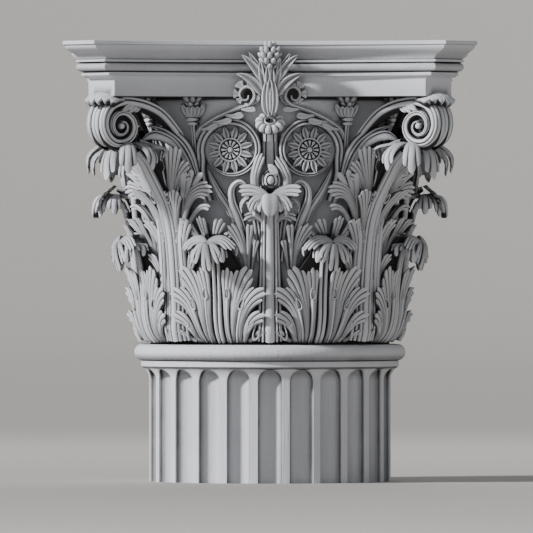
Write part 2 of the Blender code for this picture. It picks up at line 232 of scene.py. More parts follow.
class Bed:
    """Where a leaf lies. Its midrib is a path of (distance from the axis, height) at an azimuth;
    across it the leaf hugs the bell, and past free_from it bends to a radius of its own."""

    def __init__(self, path, azimuth, free_from, free_radius, blend=0.03, centre=(0.0, 0.0)):
        curve, self.run = smooth_path(np.array(path) * MM, 300)
        self.out, self.up = curve[:, 0], curve[:, 1]
        self.length = self.run[-1]
        tangent = np.gradient(curve, self.run, axis=0)
        tangent /= np.linalg.norm(tangent, axis=1)[:, None]
        self.tangent = tangent
        share = ease((self.run - free_from * MM) / blend)
        self.bend = (1 - share) / self.out - share / (free_radius * MM)
        angle = math.radians(azimuth)
        self.centre = np.array([centre[0] * MM, centre[1] * MM, 0.0])
        self.outward = np.array([math.sin(angle), -math.cos(angle), 0.0])
        self.sideways = np.array([math.cos(angle), math.sin(angle), 0.0])

    def __call__(self, across, along, off):
        """Points from millimetres across the leaf, along its midrib, and off its face."""
        x, y, z = np.broadcast_arrays(np.asarray(across, float) * MM, np.asarray(along, float) * MM,
                                      np.asarray(off, float) * MM)
        inside = np.clip(y, 0, self.length)
        beyond = y - inside
        out, up, bend = (np.interp(inside, self.run, v) for v in (self.out, self.up, self.bend))
        t_out, t_up = (np.interp(inside, self.run, self.tangent[:, k]) for k in (0, 1))
        length = np.hypot(t_out, t_up)
        t_out, t_up = t_out / length, t_up / length
        out, up = out + beyond * t_out, up + beyond * t_up
        bend = np.where(np.abs(bend) < 1e-4, 1e-4, bend)
        turn = bend * x
        lift = z * np.cos(turn) - (1 - np.cos(turn)) / bend
        side = np.sin(turn) / bend + z * np.sin(turn)
        n_out, n_up = t_up, -t_out
        radial = out + n_out * lift
        return (self.centre + radial[..., None] * self.outward + side[..., None] * self.sideways
                + (up + n_up * lift)[..., None] * np.array([0, 0, 1.0]))


def bezier(controls, s):
    """A curve of any order through the first and last control and towards the others, and its slope."""
    points = [np.broadcast_to(np.array(c, float), s.shape + (2,)) for c in controls]
    while len(points) > 2:
        points = [a + (b - a) * s[..., None] for a, b in zip(points, points[1:])]
    slope = points[1] - points[0]
    return points[0] + slope * s[..., None], slope


# The edge of a lobe is rounded over by two more rings of points. For the sheet and for each ring:
# its share of the length and of the width, its drop as a share of the thickness, and its cut.
EDGE_ALONG = (1, 0.985, 0.93)
EDGE_ACROSS = (1, 0.99, 0.86)
EDGE_DROP = (0, 0.35, 1)
EDGE_CUT = (0, 0.55, 1)


def lobe(carving, bed, curve, root, width, fingers=3, level=(0, 6), ridge=3.0, crown=2.0, lift=4.0,
         notch=13.0, fall=26.0, swell=1.9, thick=7.0, face=1, hand=1, rows=22, per=7, closed=False, stem=6.0,
         vein=0.12, start=0.3):
    """One lobe of a leaf: a stem that widens along its curve into pointed fingers with V grooves
    between them. Sizes are in millimetres on the bed. notch and fall are how far the gaps between
    the fingers and the outer fingers stay short. face -1 carves it on the back of the leaf."""
    columns = fingers * per + 1
    edge = np.array([2, 1] + [0] * columns + [1, 2])[None, :]
    end = np.array([2, 1] + [0] * rows + [1, 2])[:, None]
    ring = np.maximum(edge, end)
    t = np.pad(np.linspace(-1, 1, columns), 2, mode="edge")[None, :]
    s = np.pad(np.linspace(0, 1, rows) ** 0.85, 2, mode="edge")[:, None]
    place = (t + 1) / 2 * fingers
    within = place - np.floor(np.minimum(place, fingers - 1e-9))
    apart = np.abs(2 * within - 1)
    run = np.linalg.norm(np.diff(bezier(curve, np.linspace(0, 1, 20))[0], axis=0), axis=1).sum()
    reach = 1 - (1.25 * fall * np.abs(t) ** 1.7 + 0.82 * notch * apart**1.3) / run

    def at(ring):
        along = np.minimum(s, np.choose(ring, EDGE_ALONG)) * reach
        centre, slope = bezier(curve, along)
        slope = slope / np.linalg.norm(slope, axis=-1)[..., None]
        across = t * np.choose(ring, EDGE_ACROSS) * (root + (width - root) * along**swell)
        grown = ease((along - start) / 0.45)
        fold = ridge * (0.45 * grown + 0.55 * ease((along - 0.5) / 0.4))
        z = (level[0] + (level[1] - level[0]) * along + lift * along**3
             + (1.5 * crown * grown + stem * (1 - grown)) * (1 - t**2)
             + fold * (1 - apart**2.0 - vein * np.exp(-(((2 * within - 1) / 0.22) ** 2)) * (1 - along**6))
             - thick * np.choose(ring, EDGE_DROP))
        x = centre[..., 0] + slope[..., 1] * across
        y = centre[..., 1] - slope[..., 0] * across
        return bed(hand * x, y, face * z), along

    points, along = at(ring)
    # Painted shade through the cut: deepest in the V grooves and at the outer edges, and fading towards the
    # tips, so a lobe is darker near its stem.
    groove = (0.88 * apart**7 * ease((along - 0.25) / 0.5) + t**6 * (1 - along) * 0.7
              + 0.42 * (1 - along) ** 1.3)
    cuts = np.where(ring == 0, groove, np.choose(ring, EDGE_CUT))
    flip = face * hand < 0
    carving.grid(points, cuts, flip=flip)
    # The closed back gets a cut of 0.35, a painted shade.
    if closed:
        back = at(np.full_like(ring, 2))[0]
        carving.grid(back[2:-2, 2:-2], 0.35, flip=not flip)


def pipe(carving, bed, curve, root, width, high, level=(0, 0), hand=1, rows=18, columns=7):
    """A round rib laid along a curve on the bed, from one half width, height and level to another."""
    s = np.linspace(0, 1, rows)[:, None]
    angle = np.linspace(-1.25, 1.25, columns)[None, :] * math.pi / 2
    centre, slope = bezier(curve, np.broadcast_to(s, (rows, columns)))
    slope = slope / np.linalg.norm(slope, axis=-1)[..., None]
    half = root + (width - root) * s
    across = np.sin(np.clip(angle, -math.pi / 2, math.pi / 2)) * half
    tall = np.cos(angle) * (high[0] + (high[1] - high[0]) * s)
    z = level[0] + (level[1] - level[0]) * s + tall
    x = centre[..., 0] + slope[..., 1] * across
    y = centre[..., 1] - slope[..., 0] * across
    # The rib's sides get a cut, painted shade where it meets the leaf.
    cut = np.clip(np.abs(angle) / (math.pi / 2) - 0.55, 0, 1) * 1.4
    carving.grid(bed(hand * x, y, z), np.broadcast_to(cut, z.shape), flip=hand < 0)


def drop(carving, bed, centre, half, lean=0.0, level=6.0, hand=1):
    """An eye between two lobes: a raised rim in the shape of a drop about a drilled hole."""
    rim, around = 2.2, 20
    a = np.linspace(0, 2 * math.pi, around, endpoint=False)[None, :]
    # The profile is (scale, height, cut); the cut paints shade in the drilled hole and outside the rim.
    profile = [(1.45, -4.0, 1.0), (1.3, 0.4, 0.3), (1.12, 1.0, 0.0), (0.92, 0.6, 0.2), (0.75, -1.2, 1.0),
               (0.45, -2.6, 1.0), (0.0, -3.0, 1.0)]
    scale, height, cut = (np.array(v)[:, None] for v in zip(*profile))
    taper = 1 - 0.45 * (1 + np.sin(a)) / 2
    x = np.cos(a) * scale * half[0] * taper
    y = np.sin(a) * scale * half[1]
    turn = math.radians(lean)
    x, y = x * math.cos(turn) + y * math.sin(turn), -x * math.sin(turn) + y * math.cos(turn)
    z = level + height * rim
    carving.grid(bed(hand * (centre[0] + x), centre[1] + y, z + 0 * x),
                 np.broadcast_to(cut, x.shape), around=True, flip=hand < 0)


def blade(carving, bed, widths, level, thick, rows):
    """The leaf's own sheet under its lobes: half widths and thicknesses at distances along the midrib."""
    columns = 13
    at, half = np.array(widths, float).T
    y = np.linspace(at[0], at[-1], rows)[:, None]
    wide = np.interp(y, at, half)
    t = np.concatenate([np.linspace(-1, 1, columns), np.linspace(1, -1, columns)])[None, :]
    side = np.concatenate([np.zeros(columns), np.ones(columns)])[None, :]
    z = level - side * np.interp(y, *np.array(thick, float).T)
    shade = np.where(side > 0, 0.3, 0.9 + 0.3 * np.abs(t) ** 4)
    carving.grid(bed(t * wide, y + 0 * t, z), np.broadcast_to(shade, z.shape), around=True)


class Front:
    """A bed as seen from straight in front of one face: across and up are what the eye sees, and
    off is how far out it stands from the bell, whose distance from the axis is given at heights."""

    def __init__(self, radii):
        self.up, self.out = np.array(radii, float).T

    def __call__(self, across, along, off):
        x, z, off = np.broadcast_arrays(*(np.asarray(v, float) for v in (across, along, off)))
        out = np.maximum(np.interp(z, self.up, self.out) + off, np.abs(x) + 1)
        return np.stack([x, -np.sqrt(out**2 - x**2), z], axis=-1) * MM


class Facet:
    """A flat bed about a middle point, facing an azimuth and leaning back, in degrees."""

    def __init__(self, middle, azimuth, lean=0.0):
        a, b = math.radians(azimuth), math.radians(lean)
        self.middle = np.array(middle, float) * MM
        self.across = np.array([math.cos(a), math.sin(a), 0.0])
        self.upward = np.array([-math.sin(b) * math.sin(a), math.sin(b) * math.cos(a), math.cos(b)])
        self.outward = np.cross(self.across, self.upward)

    def __call__(self, across, along, off):
        x, y, z = np.broadcast_arrays(*(np.asarray(v, float) * MM for v in (across, along, off)))
        return (self.middle + x[..., None] * self.across + y[..., None] * self.upward
                + z[..., None] * self.outward)


def seen(x, z, out):
    """A point in millimetres from what is seen from the front and its distance from the axis."""
    return (x, -math.sqrt(out * out - x * x), z)


# Sections of stems and straps, as (across, out, cut): two ribs, one rib, a folded edge, and a flat band
# between two ribs. The cut paints shade at the sides and between the ribs.
PAIR = [(-1, -1, 1), (-1, 0, 0.8), (-0.82, 0.75, 0.1), (-0.5, 1, 0), (-0.2, 0.7, 0.3), (0, 0.1, 1),
        (0.2, 0.7, 0.3), (0.5, 1, 0), (0.82, 0.75, 0.1), (1, 0, 0.8), (1, -1, 1)]
ROUND = [(-1, -1, 1), (-1, 0, 0.7), (-0.8, 0.6, 0.2), (-0.4, 0.92, 0), (0, 1, 0), (0.4, 0.92, 0),
         (0.8, 0.6, 0.2), (1, 0, 0.7), (1, -1, 1)]
FOLD = [(-1, -1, 1), (-1, 0, 0.8), (-0.88, 0.8, 0.1), (-0.68, 0.9, 0), (-0.52, 0.3, 1), (-0.36, 0.7, 0.2),
        (0, 1, 0), (0.5, 0.85, 0), (0.85, 0.4, 0.1), (1, -0.1, 0.8), (1, -1, 1)]
FLAT = [(-1, -1, 1), (-1, 0, 0.8), (-0.9, 0.6, 0.1), (-0.62, 0.9, 0), (-0.5, 0.2, 1), (-0.42, 0.9, 0.3),
        (-0.3, 1, 0), (0.3, 1, 0), (0.42, 0.9, 0.3), (0.5, 0.2, 1), (0.62, 0.9, 0), (0.9, 0.6, 0.1),
        (1, 0, 0.8), (1, -1, 1)]


def strand(carving, controls, widths, heights, section=PAIR, rows=40):
    """A stem or strap of a section through points (across, up, distance from the axis)."""
    centre, run = smooth_path(np.array([seen(*c) for c in controls]) * MM, rows)
    along = np.gradient(centre, run, axis=0)
    along /= np.linalg.norm(along, axis=1)[:, None]
    out = centre * (1, 1, 0)
    out /= np.linalg.norm(out, axis=1)[:, None]
    out -= along * (along * out).sum(axis=1)[:, None]
    out /= np.linalg.norm(out, axis=1)[:, None]
    side = np.cross(along, out)
    share = run / run[-1]
    wide, tall = (np.interp(share, np.linspace(0, 1, len(v)), v) * MM for v in (widths, heights))
    u, v, cut = np.array(section, float).T
    points = (centre[:, None] + side[:, None] * (u * wide[:, None])[..., None]
              + out[:, None] * (v * tall[:, None])[..., None])
    ends = [np.broadcast_to(c, points.shape[1:])[None] for c in (centre[0], centre[-1])]
    carving.grid(np.concatenate([ends[0], points, ends[1]]), np.broadcast_to(cut, (rows + 2, len(cut))),
                 around=True)


def petal(carving, bed, root, tip, half, level=(0, 0), high=3.0, bow=0.0, thick=6.0, groove=0.5, point=1.0,
          face=1, hand=1, rows=9, peak=0.55):
    """A single pointed leaf with a raised edge and a hollow middle; bow bends it sideways."""
    t = np.array([-1, -1, -0.92, -0.7, -0.35, 0, 0.35, 0.7, 0.92, 1, 1])[None, :]
    skirt = np.array([1] + [0] * 9 + [1])[None, :]
    rise = np.array([0, 0, 0.7, 1, 1 - 0.6 * groove, 1 - groove, 1 - 0.6 * groove, 1, 0.7, 0, 0])[None, :]
    # The cut paints shade on the skirt and along the hollow middle.
    cut = np.array([1, 0.8, 0.15, 0, 0.6 * groove, 1.4 * groove, 0.6 * groove, 0, 0.15, 0.8, 1])[None, :]
    s = np.linspace(0, 1, rows)[:, None]
    wide = half * np.sin(np.pi * np.clip(s, 0, 1) ** (math.log(0.5) / math.log(peak))) ** 0.7
    wide = wide + half * 0.45 * np.clip(1 - s / 0.5, 0, 1) * (1 - point * 0.5)
    wide[-1] = 0
    root, tip = np.array(root, float), np.array(tip, float)
    line = tip - root
    normal = np.array([line[1], -line[0]]) / np.linalg.norm(line)
    centre, slope = bezier([root, (root + tip) / 2 + normal * bow, tip],
                           np.broadcast_to(s, (rows, t.shape[1])))
    slope = slope / np.linalg.norm(slope, axis=-1)[..., None]
    x = centre[..., 0] + slope[..., 1] * t * wide
    y = centre[..., 1] - slope[..., 0] * t * wide
    z = (level[0] + (level[1] - level[0]) * s + rise * high * np.minimum(1, wide / (0.5 * half))
         - skirt * thick)
    carving.grid(bed(hand * x, y, face * z), np.broadcast_to(cut, z.shape), flip=face * hand < 0)


def dome(carving, bed, centre, profile, around, squeeze=(1.0, 1.0), scallops=0):
    """A round form on a bed from a profile of (radius, height, cut), with scallops on its edge."""
    depth = 0.2
    a = np.linspace(0, 2 * math.pi, around, endpoint=False)[None, :]
    radius, height, cut = (np.array(v, float)[:, None] for v in zip(*profile))
    outer = radius / radius.max()
    wave = np.abs(np.cos(a * scallops / 2)) ** 0.6 if scallops else 1
    scale = radius * (1 - depth * outer * (1 - wave)) if scallops else radius + 0 * a
    x, y = np.cos(a) * scale * squeeze[0], np.sin(a) * scale * squeeze[1]
    if scallops:
        edge = np.clip((outer - 0.3) / 0.2, 0, 1)
        cut = np.maximum(cut, (1 - wave) ** 2 * edge)
        height = height - 2.4 * depth * (1 - wave) * edge * np.abs(height)
    carving.grid(bed(centre[0] + x, centre[1] + y, height + 0 * x), np.broadcast_to(cut, x.shape),
                 around=True)


def berry(carving, centre, axis, radius, length):
    """One berry of a cluster, drawn out to a blunt point along its axis."""
    around, rows = 10, 8
    axis = np.array(axis, float) / np.linalg.norm(axis)
    side = np.cross(axis, (0.3, 0.9, 0.31))
    side /= np.linalg.norm(side)
    other = np.cross(axis, side)
    a = np.linspace(0, 2 * math.pi, around, endpoint=False)[None, :, None]
    b = np.linspace(-math.pi / 2, math.pi / 2, rows)[:, None, None]
    wide = np.cos(b) ** 0.8 * (1 - 0.25 * np.sin(b))
    points = (np.array(centre) + side * np.cos(a) * wide * radius + other * np.sin(a) * wide * radius
              + axis * np.sin(b) * length) * MM
    cuts = np.linspace(1, 0, rows)[:, None] ** 2
    carving.grid(points, np.broadcast_to(cuts, (rows, around)), around=True)


def cluster(carving, middle, half, tiers, count, radius, facing):
    """Berries set close in staggered tiers over an egg-shaped core, pointing up and outwards."""
    core = Facet(middle, facing)
    rise = np.linspace(-math.pi / 2, math.pi / 2, 8)[:, None]
    ring = np.linspace(0, 2 * math.pi, 16, endpoint=False)[None, :]
    wide = np.cos(rise) * half[0] * 0.82
    carving.grid(core(np.cos(ring) * wide, np.sin(rise) * half[1] * 0.9 + 0 * ring, -np.sin(ring) * wide),
                 np.ones((8, 16)), around=True)
    for tier in range(tiers):
        share = -0.8 + 1.72 * tier / (tiers - 1)
        girth = math.sqrt(max(0.0, 1 - share**2))
        around, wide = max(1, round(count * girth + 0.4)), half[0] * girth * 0.86
        tilt = 0.8 * (1 - share * 0.6)
        for k in range(around):
            turn = 2 * math.pi * (k + 0.5 * (tier % 2)) / around + math.radians(facing)
            s, c = math.sin(turn), math.cos(turn)
            spot = (middle[0] + wide * s, middle[1] - wide * c, middle[2] + share * half[1] * 0.86)
            berry(carving, spot, (tilt * s, -tilt * c, 0.75 + 0.6 * max(0, share)), radius, radius * 1.6)


def head(leaf, azimuth, out, top, lobes, roundness=42, rows=17, per=6):
    """The tip of a leaf that has curled over: lobes that fan out round its middle and hang down.
    A lobe is (turn, reach, drop, half width, fingers, level); each but the middle one is made twice."""
    angle = math.radians(azimuth)
    centre = (out * math.sin(angle), -out * math.cos(angle))
    for turn, reach, fall, half, fingers, level in lobes:
        path = [(1, top - 3), (0.4 * reach, top + 2), (0.78 * reach, top - 0.14 * fall),
                (reach, top - 0.5 * fall), (0.9 * reach, top - fall)]
        for hand in (1, -1) if turn else (1,):
            bed = Bed(path, azimuth + hand * turn, -100, roundness, centre=centre)
            long = bed.length / MM
            lobe(leaf, bed, [(0, 0), (0, long * 0.4), (0, long * 0.75), (0, long)], half * 0.34, half * 1.12,
                 fingers, (level * 0.6, level), lift=3, crown=3, stem=3, swell=1.15, start=0.2,
                 notch=half * 0.66, fall=long * 0.34, face=-1, hand=hand, closed=True, rows=rows, per=per)


def lower_leaf():
    """A leaf of the lower tier, curled over at the top."""
    leaf = Carving()
    bed = Bed(LOWER_BED, 22.5, 250, 95)
    bend = 262
    blade(leaf, bed, [(0, 62), (30, 76), (80, 80), (140, 76), (180, 58), (215, 36), (250, 26), (bend, 24)],
          -3, [(0, 16), (60, 30), (200, 40), (250, 30), (bend, 12)], rows=30)
    for hand in (1, -1):
        pipe(leaf, bed, [(5, 0), (7, 110), (6, 250)], 5.5, 4.0, (7, 7), (4, 6), hand=hand, rows=24)
        lobe(leaf, bed, [(68, -2), (82, 4), (98, 10), (108, 36)], 7, 15, 2, (6, 10), hand=hand,
             thick=10, rows=14, notch=10, fall=10)
        lobe(leaf, bed, [(58, -2), (68, 30), (80, 66), (120, 72)], 6.5, 25, 3, (6, 13), lift=8, hand=hand,
             thick=12, notch=12, fall=18)
        lobe(leaf, bed, [(46, -2), (58, 52), (66, 118), (122, 132)], 6.5, 34, 4, (5, 12), lift=10, hand=hand,
             thick=12, rows=21, per=6, notch=14, fall=30)
        lobe(leaf, bed, [(31, -2), (42, 72), (46, 142), (88, 192)], 6.5, 38, 4, (3, 11), lift=10, hand=hand,
             thick=12, rows=23, per=6, notch=15, fall=36)
        lobe(leaf, bed, [(18, -2), (25, 70), (22, 130), (34, 192)], 5.0, 19, 3, (4, 10), lift=8, hand=hand,
             thick=10, notch=12, fall=16)
        for eye, foot in (((28, 124), (24, 0)), ((62, 98), (39, 0)), ((84, 56), (53, 0))):
            pipe(leaf, bed, [foot, ((foot[0] + eye[0]) / 2, eye[1] / 2), (eye[0], eye[1] - 12)], 2.6, 4.2,
                 (5, 6), (6, 11), hand=hand)
            drop(leaf, bed, eye, (6.5, 13), lean=(eye[0] - foot[0]) * 0.8, level=15, hand=hand)
    head(leaf, 22.5, 370, 584, [(55, 46, 42, 20, 3, 0), (98, 58, 24, 22, 3, 0), (140, 40, 10, 16, 2, 0)], 40,
         12, 4)
    wings = Bed([(382, 524), (396, 548), (402, 572), (398, 592), (384, 612)], 22.5, -100, -95)
    flap = {"thick": 9, "closed": True, "rows": 14, "per": 5, "swell": 0.6, "start": 0.2}
    for hand in (1, -1):
        lobe(leaf, wings, [(2, 62), (24, 88), (46, 84), (63, 50)], 9, 18, 4, (3, 5), hand=hand, notch=10,
             fall=10, stem=3, **flap)
        lobe(leaf, wings, [(2, 60), (16, 68), (27, 48), (31, 18)], 7, 13, 2, (5, 8), hand=hand, notch=10,
             fall=9, stem=3, **flap)
    lobe(leaf, wings, [(0, 64), (0, 46), (0, 28), (0, 4)], 7, 14, 2, (9, 12), notch=11, fall=6, stem=4,
         **flap)
    return leaf


def shaft_head(flutes, flute_depth):
    """The head of the shaft: flutes with round heads, the flare, a fillet and a half-round ring."""
    pitch = 2 * math.pi / flutes
    half = FLUTE_SHARE * pitch
    neck, ring = NECK / MM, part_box("fluted_shaft")[1][0] / MM
    top = SHAFT_TOP / MM
    lip = top - FILLET_DROP
    ring_foot, ring_top = lip + FILLET_HEIGHT, top - RING_DROP
    arch, spring = half * neck, lip - 7 - half * neck
    heights = [(z, 1.0) for z in (0, 4, 60, 120, 180, spring)]
    heights += [(spring + arch * math.sin(a), math.cos(a)) for a in np.linspace(0, math.pi / 2, 12)[1:]]
    rows = [(0, 1.0, 0.0)]
    rows += [(z, wide, neck + FLARE * max(0.0, (z - spring - 8) / (lip - spring - 8)) ** 2)
             for z, wide in heights]
    rows += [(lip - 4, 1.0, neck + 14.5), (lip - 1, 1.0, neck + 16.5), (lip, 1.0, neck + 19),
             (lip + 13, 1.0, neck + 19), (lip + 14, 1.0, neck + 17.5), (ring_foot, 1.0, neck + 12)]
    middle, round_half = (ring_foot + ring_top) / 2, (ring_top - ring_foot) / 2
    rows += [(middle + round_half * math.sin(a), 1.0, ring - RING_SWELL + RING_SWELL * math.cos(a))
             for a in np.linspace(-1.5, 1.5, 17)]
    rows += [(ring_top, 1.0, neck + 2), (top - 9, 1.0, neck - 4), (top, 1.0, neck - 5), (top, 1.0, 0.0)]
    u = np.sin(np.linspace(-math.pi / 2, math.pi / 2, 15))
    fillet = np.linspace(0, 1, 6)[1:-1]
    # Painted shade through the cut: thin dark lines beside each fillet, a little in each flute's hollow, and
    # more towards the round heads.
    hollow = 0.08 * (1 - u**2) + 0.75 * np.abs(u) ** 7 * (np.abs(u) < 0.999)
    points, cuts = [], []
    for z, wide, out in rows:
        in_flute = 0 < out and z <= spring + arch + 0.1 and z < lip - 5
        depth = flute_depth * math.sqrt(max(0, wide)) * np.sqrt(1 - u**2) if in_flute else 0 * u
        line, dark = [], []
        for k in range(flutes):
            line += [(k * pitch + v * half * wide, out - d) for v, d in zip(u, depth)]
            start = k * pitch + half * wide
            line += [(start + f * (pitch - 2 * half * wide), out) for f in fillet]
            dark += list(hollow + 0.3 * ease((z - spring) / arch) if in_flute else 0 * u)
            dark += [0.0] * len(fillet)
        turn, radius = np.array(line).T
        points.append(np.stack([radius * np.sin(turn), -radius * np.cos(turn), z + 0 * turn], axis=-1))
        # Painted shade through the cut: the crevices beside the fillet and at the top, the band under the
        # fillet, and the lower half of the ring.
        recess = 0.9 if (lip + 14 <= z <= lip + 16) or top - 10 <= z else 0.55 if lip - 5 < z < lip else 0.0
        if lip + 16 < z < top - 10:
            recess = 0.6 * max(0.0, (middle - z) / round_half - 0.1)
        cuts.append(np.maximum(dark, recess))
    shaft = Carving()
    shaft.grid(np.array(points) * MM, np.array(cuts), around=True)
    return shaft


def bell():
    """The plain bell behind the leaves, flaring to its lip under the abacus."""
    foot, lip = FOOT / MM, ABACUS_FOOT
    profile, _ = smooth_path([(284, foot), (284, 560), (290, 700), (306, 800), (330, 880), (346, 920),
                              (349, 934)], 40)
    profile = [(0.0, foot)] + [tuple(p) for p in profile] + [(344, 941), (330, lip), (0.0, lip)]
    a = np.linspace(0, 2 * math.pi, 128, endpoint=False)
    r, z = np.array(profile).T
    points = np.stack([r[:, None] * np.cos(a), r[:, None] * np.sin(a), z[:, None] + 0 * a], axis=-1)
    carved = Carving()
    carved.grid(points * MM, np.full((len(r), len(a)), 0.05), around=True)
    return carved


def quarter_turn(points, quarters):
    """Points turned by quarters about the column's axis."""
    c, s = ((1, 0), (0, 1), (-1, 0), (0, -1))[quarters % 4]
    return points @ np.array([[c, s, 0], [-s, c, 0], [0, 0, 1]])


def abacus():
    """The moulded slab with four hollowed sides and chamfered corners."""
    top, foot, corner = TOP / MM, ABACUS_FOOT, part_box("capital")[1][0] / MM
    lower = corner - ABACUS_SETBACK
    # Each row is (height, how far out the side stands, cut); the cut paints shade on the underside and in the
    # hollows of the mouldings.
    rows = [(foot, 0.0, 0.9), (foot, lower - 2, 0.7), (foot + 1.5, lower, 0.1), (foot + 40, lower, 0.0)]
    rows += [(foot + 41 + 9 * t, lower + 12 * t - 3 * math.sin(math.pi * t), 0.0)
             for t in np.linspace(0, 1, 6)]
    rows += [(foot + 51, corner - 45, 0.1), (foot + 58, corner - 45, 0.0), (foot + 59, corner - 46, 0.6),
             (foot + 60, corner - 50, 1.0)]
    rows += [(foot + 71.5 - 10.5 * math.cos(t), corner - 43 + 11 * math.sin(t),
              0.15 + 0.6 * abs(math.cos(t)) ** 6) for t in np.linspace(0.15, math.pi - 0.15, 13)]
    rows += [(foot + 83, corner - 38, 1.0), (foot + 84, corner - 32, 0.1), (foot + 89, corner - 32, 0.0),
             (foot + 90, corner - 37, 0.7)]
    for t in np.linspace(0, 1, 13):
        rows.append((foot + 90 + 34 * t, corner - 36 + 32 * (t - 0.13 * math.sin(2 * math.pi * t)),
                     0.25 * (1 - t)))
    rows += [(foot + 124.5, corner - 2, 0.5), (foot + 126, corner, 0.0), (top - 1, corner, 0.0),
             (top, corner - 1, 0.0), (top, 0.0, 0.0)]
    side = np.linspace(-1, 1, SIDE_POINTS)
    chamfer = np.array([0.25, 0.5, 0.75])[:, None]
    points, cuts = [], []
    for z, a, cut in rows:
        b = a - (CORNER_CUT + (a - lower) * 0.22) if a > 0 else 0.0
        hollow = ABACUS_HOLLOW if a > 0 else 0.0
        line = np.stack([side * b, -a + hollow * (1 - side**2), np.full(SIDE_POINTS, z)], axis=-1)
        ring = []
        for k in range(4):
            turned, following = quarter_turn(line, k), quarter_turn(line, k + 1)
            ring += [turned, turned[-1] + (following[0] - turned[-1]) * chamfer]
        points.append(np.concatenate(ring))
        cuts.append(np.full(len(points[-1]), cut))
    slab = Carving()
    slab.grid(np.array(points) * MM, np.array(cuts), around=True)
    return slab


def middle_leaf():
    """The tall leaf in the middle of a face, behind the lower tier."""
    leaf = Carving()
    bed = Bed(MIDDLE_BED, 0, 340, 150)
    blade(leaf, bed, [(0, 40), (120, 34), (240, 22), (320, 26), (350, 30), (383, 20)], -3,
          [(0, 16), (60, 30), (250, 36), (350, 26), (383, 12)], rows=34)
    pipe(leaf, bed, [(0, 0), (0, 130), (0, 260), (0, 360)], 13, 8, (11, 9), (2, 8), rows=40, columns=11)
    for hand in (1, -1):
        pipe(leaf, bed, [(17, 0), (16, 120), (14, 240), (13, 350)], 3.5, 4, (8, 7), (2, 5), hand=hand,
             rows=36)
        pipe(leaf, bed, [(27, 0), (24, 120), (19, 240), (18, 330)], 3.5, 3, (6, 6), (0, 3), hand=hand,
             rows=36)
        drop(leaf, bed, (31, 30), (8, 22), lean=-14, level=8, hand=hand)
        lobe(leaf, bed, [(14, 292), (26, 312), (44, 318), (62, 300)], 7, 18, 3, (3, 8), lift=6, hand=hand,
             thick=9, rows=16, notch=9, fall=12, start=0.1)
    head(leaf, 0, 382, 706, [(46, 48, 50, 18, 3, 2), (88, 66, 44, 24, 3, 0), (132, 62, 18, 20, 2, 0)], 38, 14,
         5)
    wings = Front([(630, 404), (668, 416), (692, 417), (708, 408), (728, 386)])
    for hand in (1, -1):
        flap = {"hand": hand, "thick": 9, "closed": True, "start": 0.2, "stem": 3}
        lobe(leaf, wings, [(2, 692), (22, 716), (48, 722), (77, 713)], 9, 17, 3, (3, 5), rows=20, swell=0.7,
             notch=10, fall=7, **flap)
        lobe(leaf, wings, [(4, 690), (24, 708), (42, 694), (47, 664)], 8, 14, 3, (5, 8), rows=20, swell=0.7,
             notch=9, fall=9, **flap)
        lobe(leaf, wings, [(3, 690), (15, 698), (23, 686), (26, 662)], 5, 7, 1, (8, 10), lift=3, rows=16,
             per=10, swell=0.6, notch=9, fall=2, **flap)
    tip = Bed([(24, 698), (38, 700), (48, 688), (50, 668), (46, 640)], 0, -100, 30, centre=(0, -382))
    petal(leaf, tip, (0, 2), (0, 68), 18, (4, 6), 5, thick=12, groove=0.3, point=0.6, face=-1, rows=18,
          peak=0.5)
    return leaf


def face_leaf():
    """A leaf that stands beside the middle stem, with its fingers to both sides."""
    leaf = Carving()
    bed = Bed([(318, 530), (328, 570), (340, 610), (352, 650), (358, 668)], 10.5, 500, 300)
    lobe(leaf, bed, [(0, 0), (2, 46), (10, 80), (32, 116)], 7, 27, 4, (0, 8), lift=8, thick=12, notch=12,
         fall=22)
    lobe(leaf, bed, [(-6, 0), (-8, 46), (-13, 84), (-18, 116)], 5, 12, 2, (2, 8), lift=6, thick=10, notch=12,
         fall=8)
    lobe(leaf, bed, [(-14, -6), (-19, 26), (-25, 50), (-31, 74)], 4, 9, 2, (0, 5), lift=5, thick=9, notch=9,
         fall=6, rows=14)
    return leaf


def crown_leaf():
    """The leaf that fills the gap over the lower tier."""
    leaf = Carving()
    bed = Bed([(310, 540), (326, 590), (340, 620), (352, 650), (362, 676)], 27.5, 500, 300)
    lobe(leaf, bed, [(0, 0), (0, 50), (0, 86), (0, 132)], 7, 15, 3, (0, 9), lift=6, thick=12, notch=13,
         fall=10)
    for hand in (1, -1):
        lobe(leaf, bed, [(5, 5), (16, 52), (30, 86), (56, 122)], 6, 21, 3, (-1, 7), lift=7, thick=12,
             notch=12, fall=14, hand=hand)
        lobe(leaf, bed, [(9, 10), (26, 42), (46, 66), (68, 78)], 5, 14, 2, (-3, 4), lift=6, thick=12,
             notch=10, fall=8, hand=hand, rows=16)
    return leaf


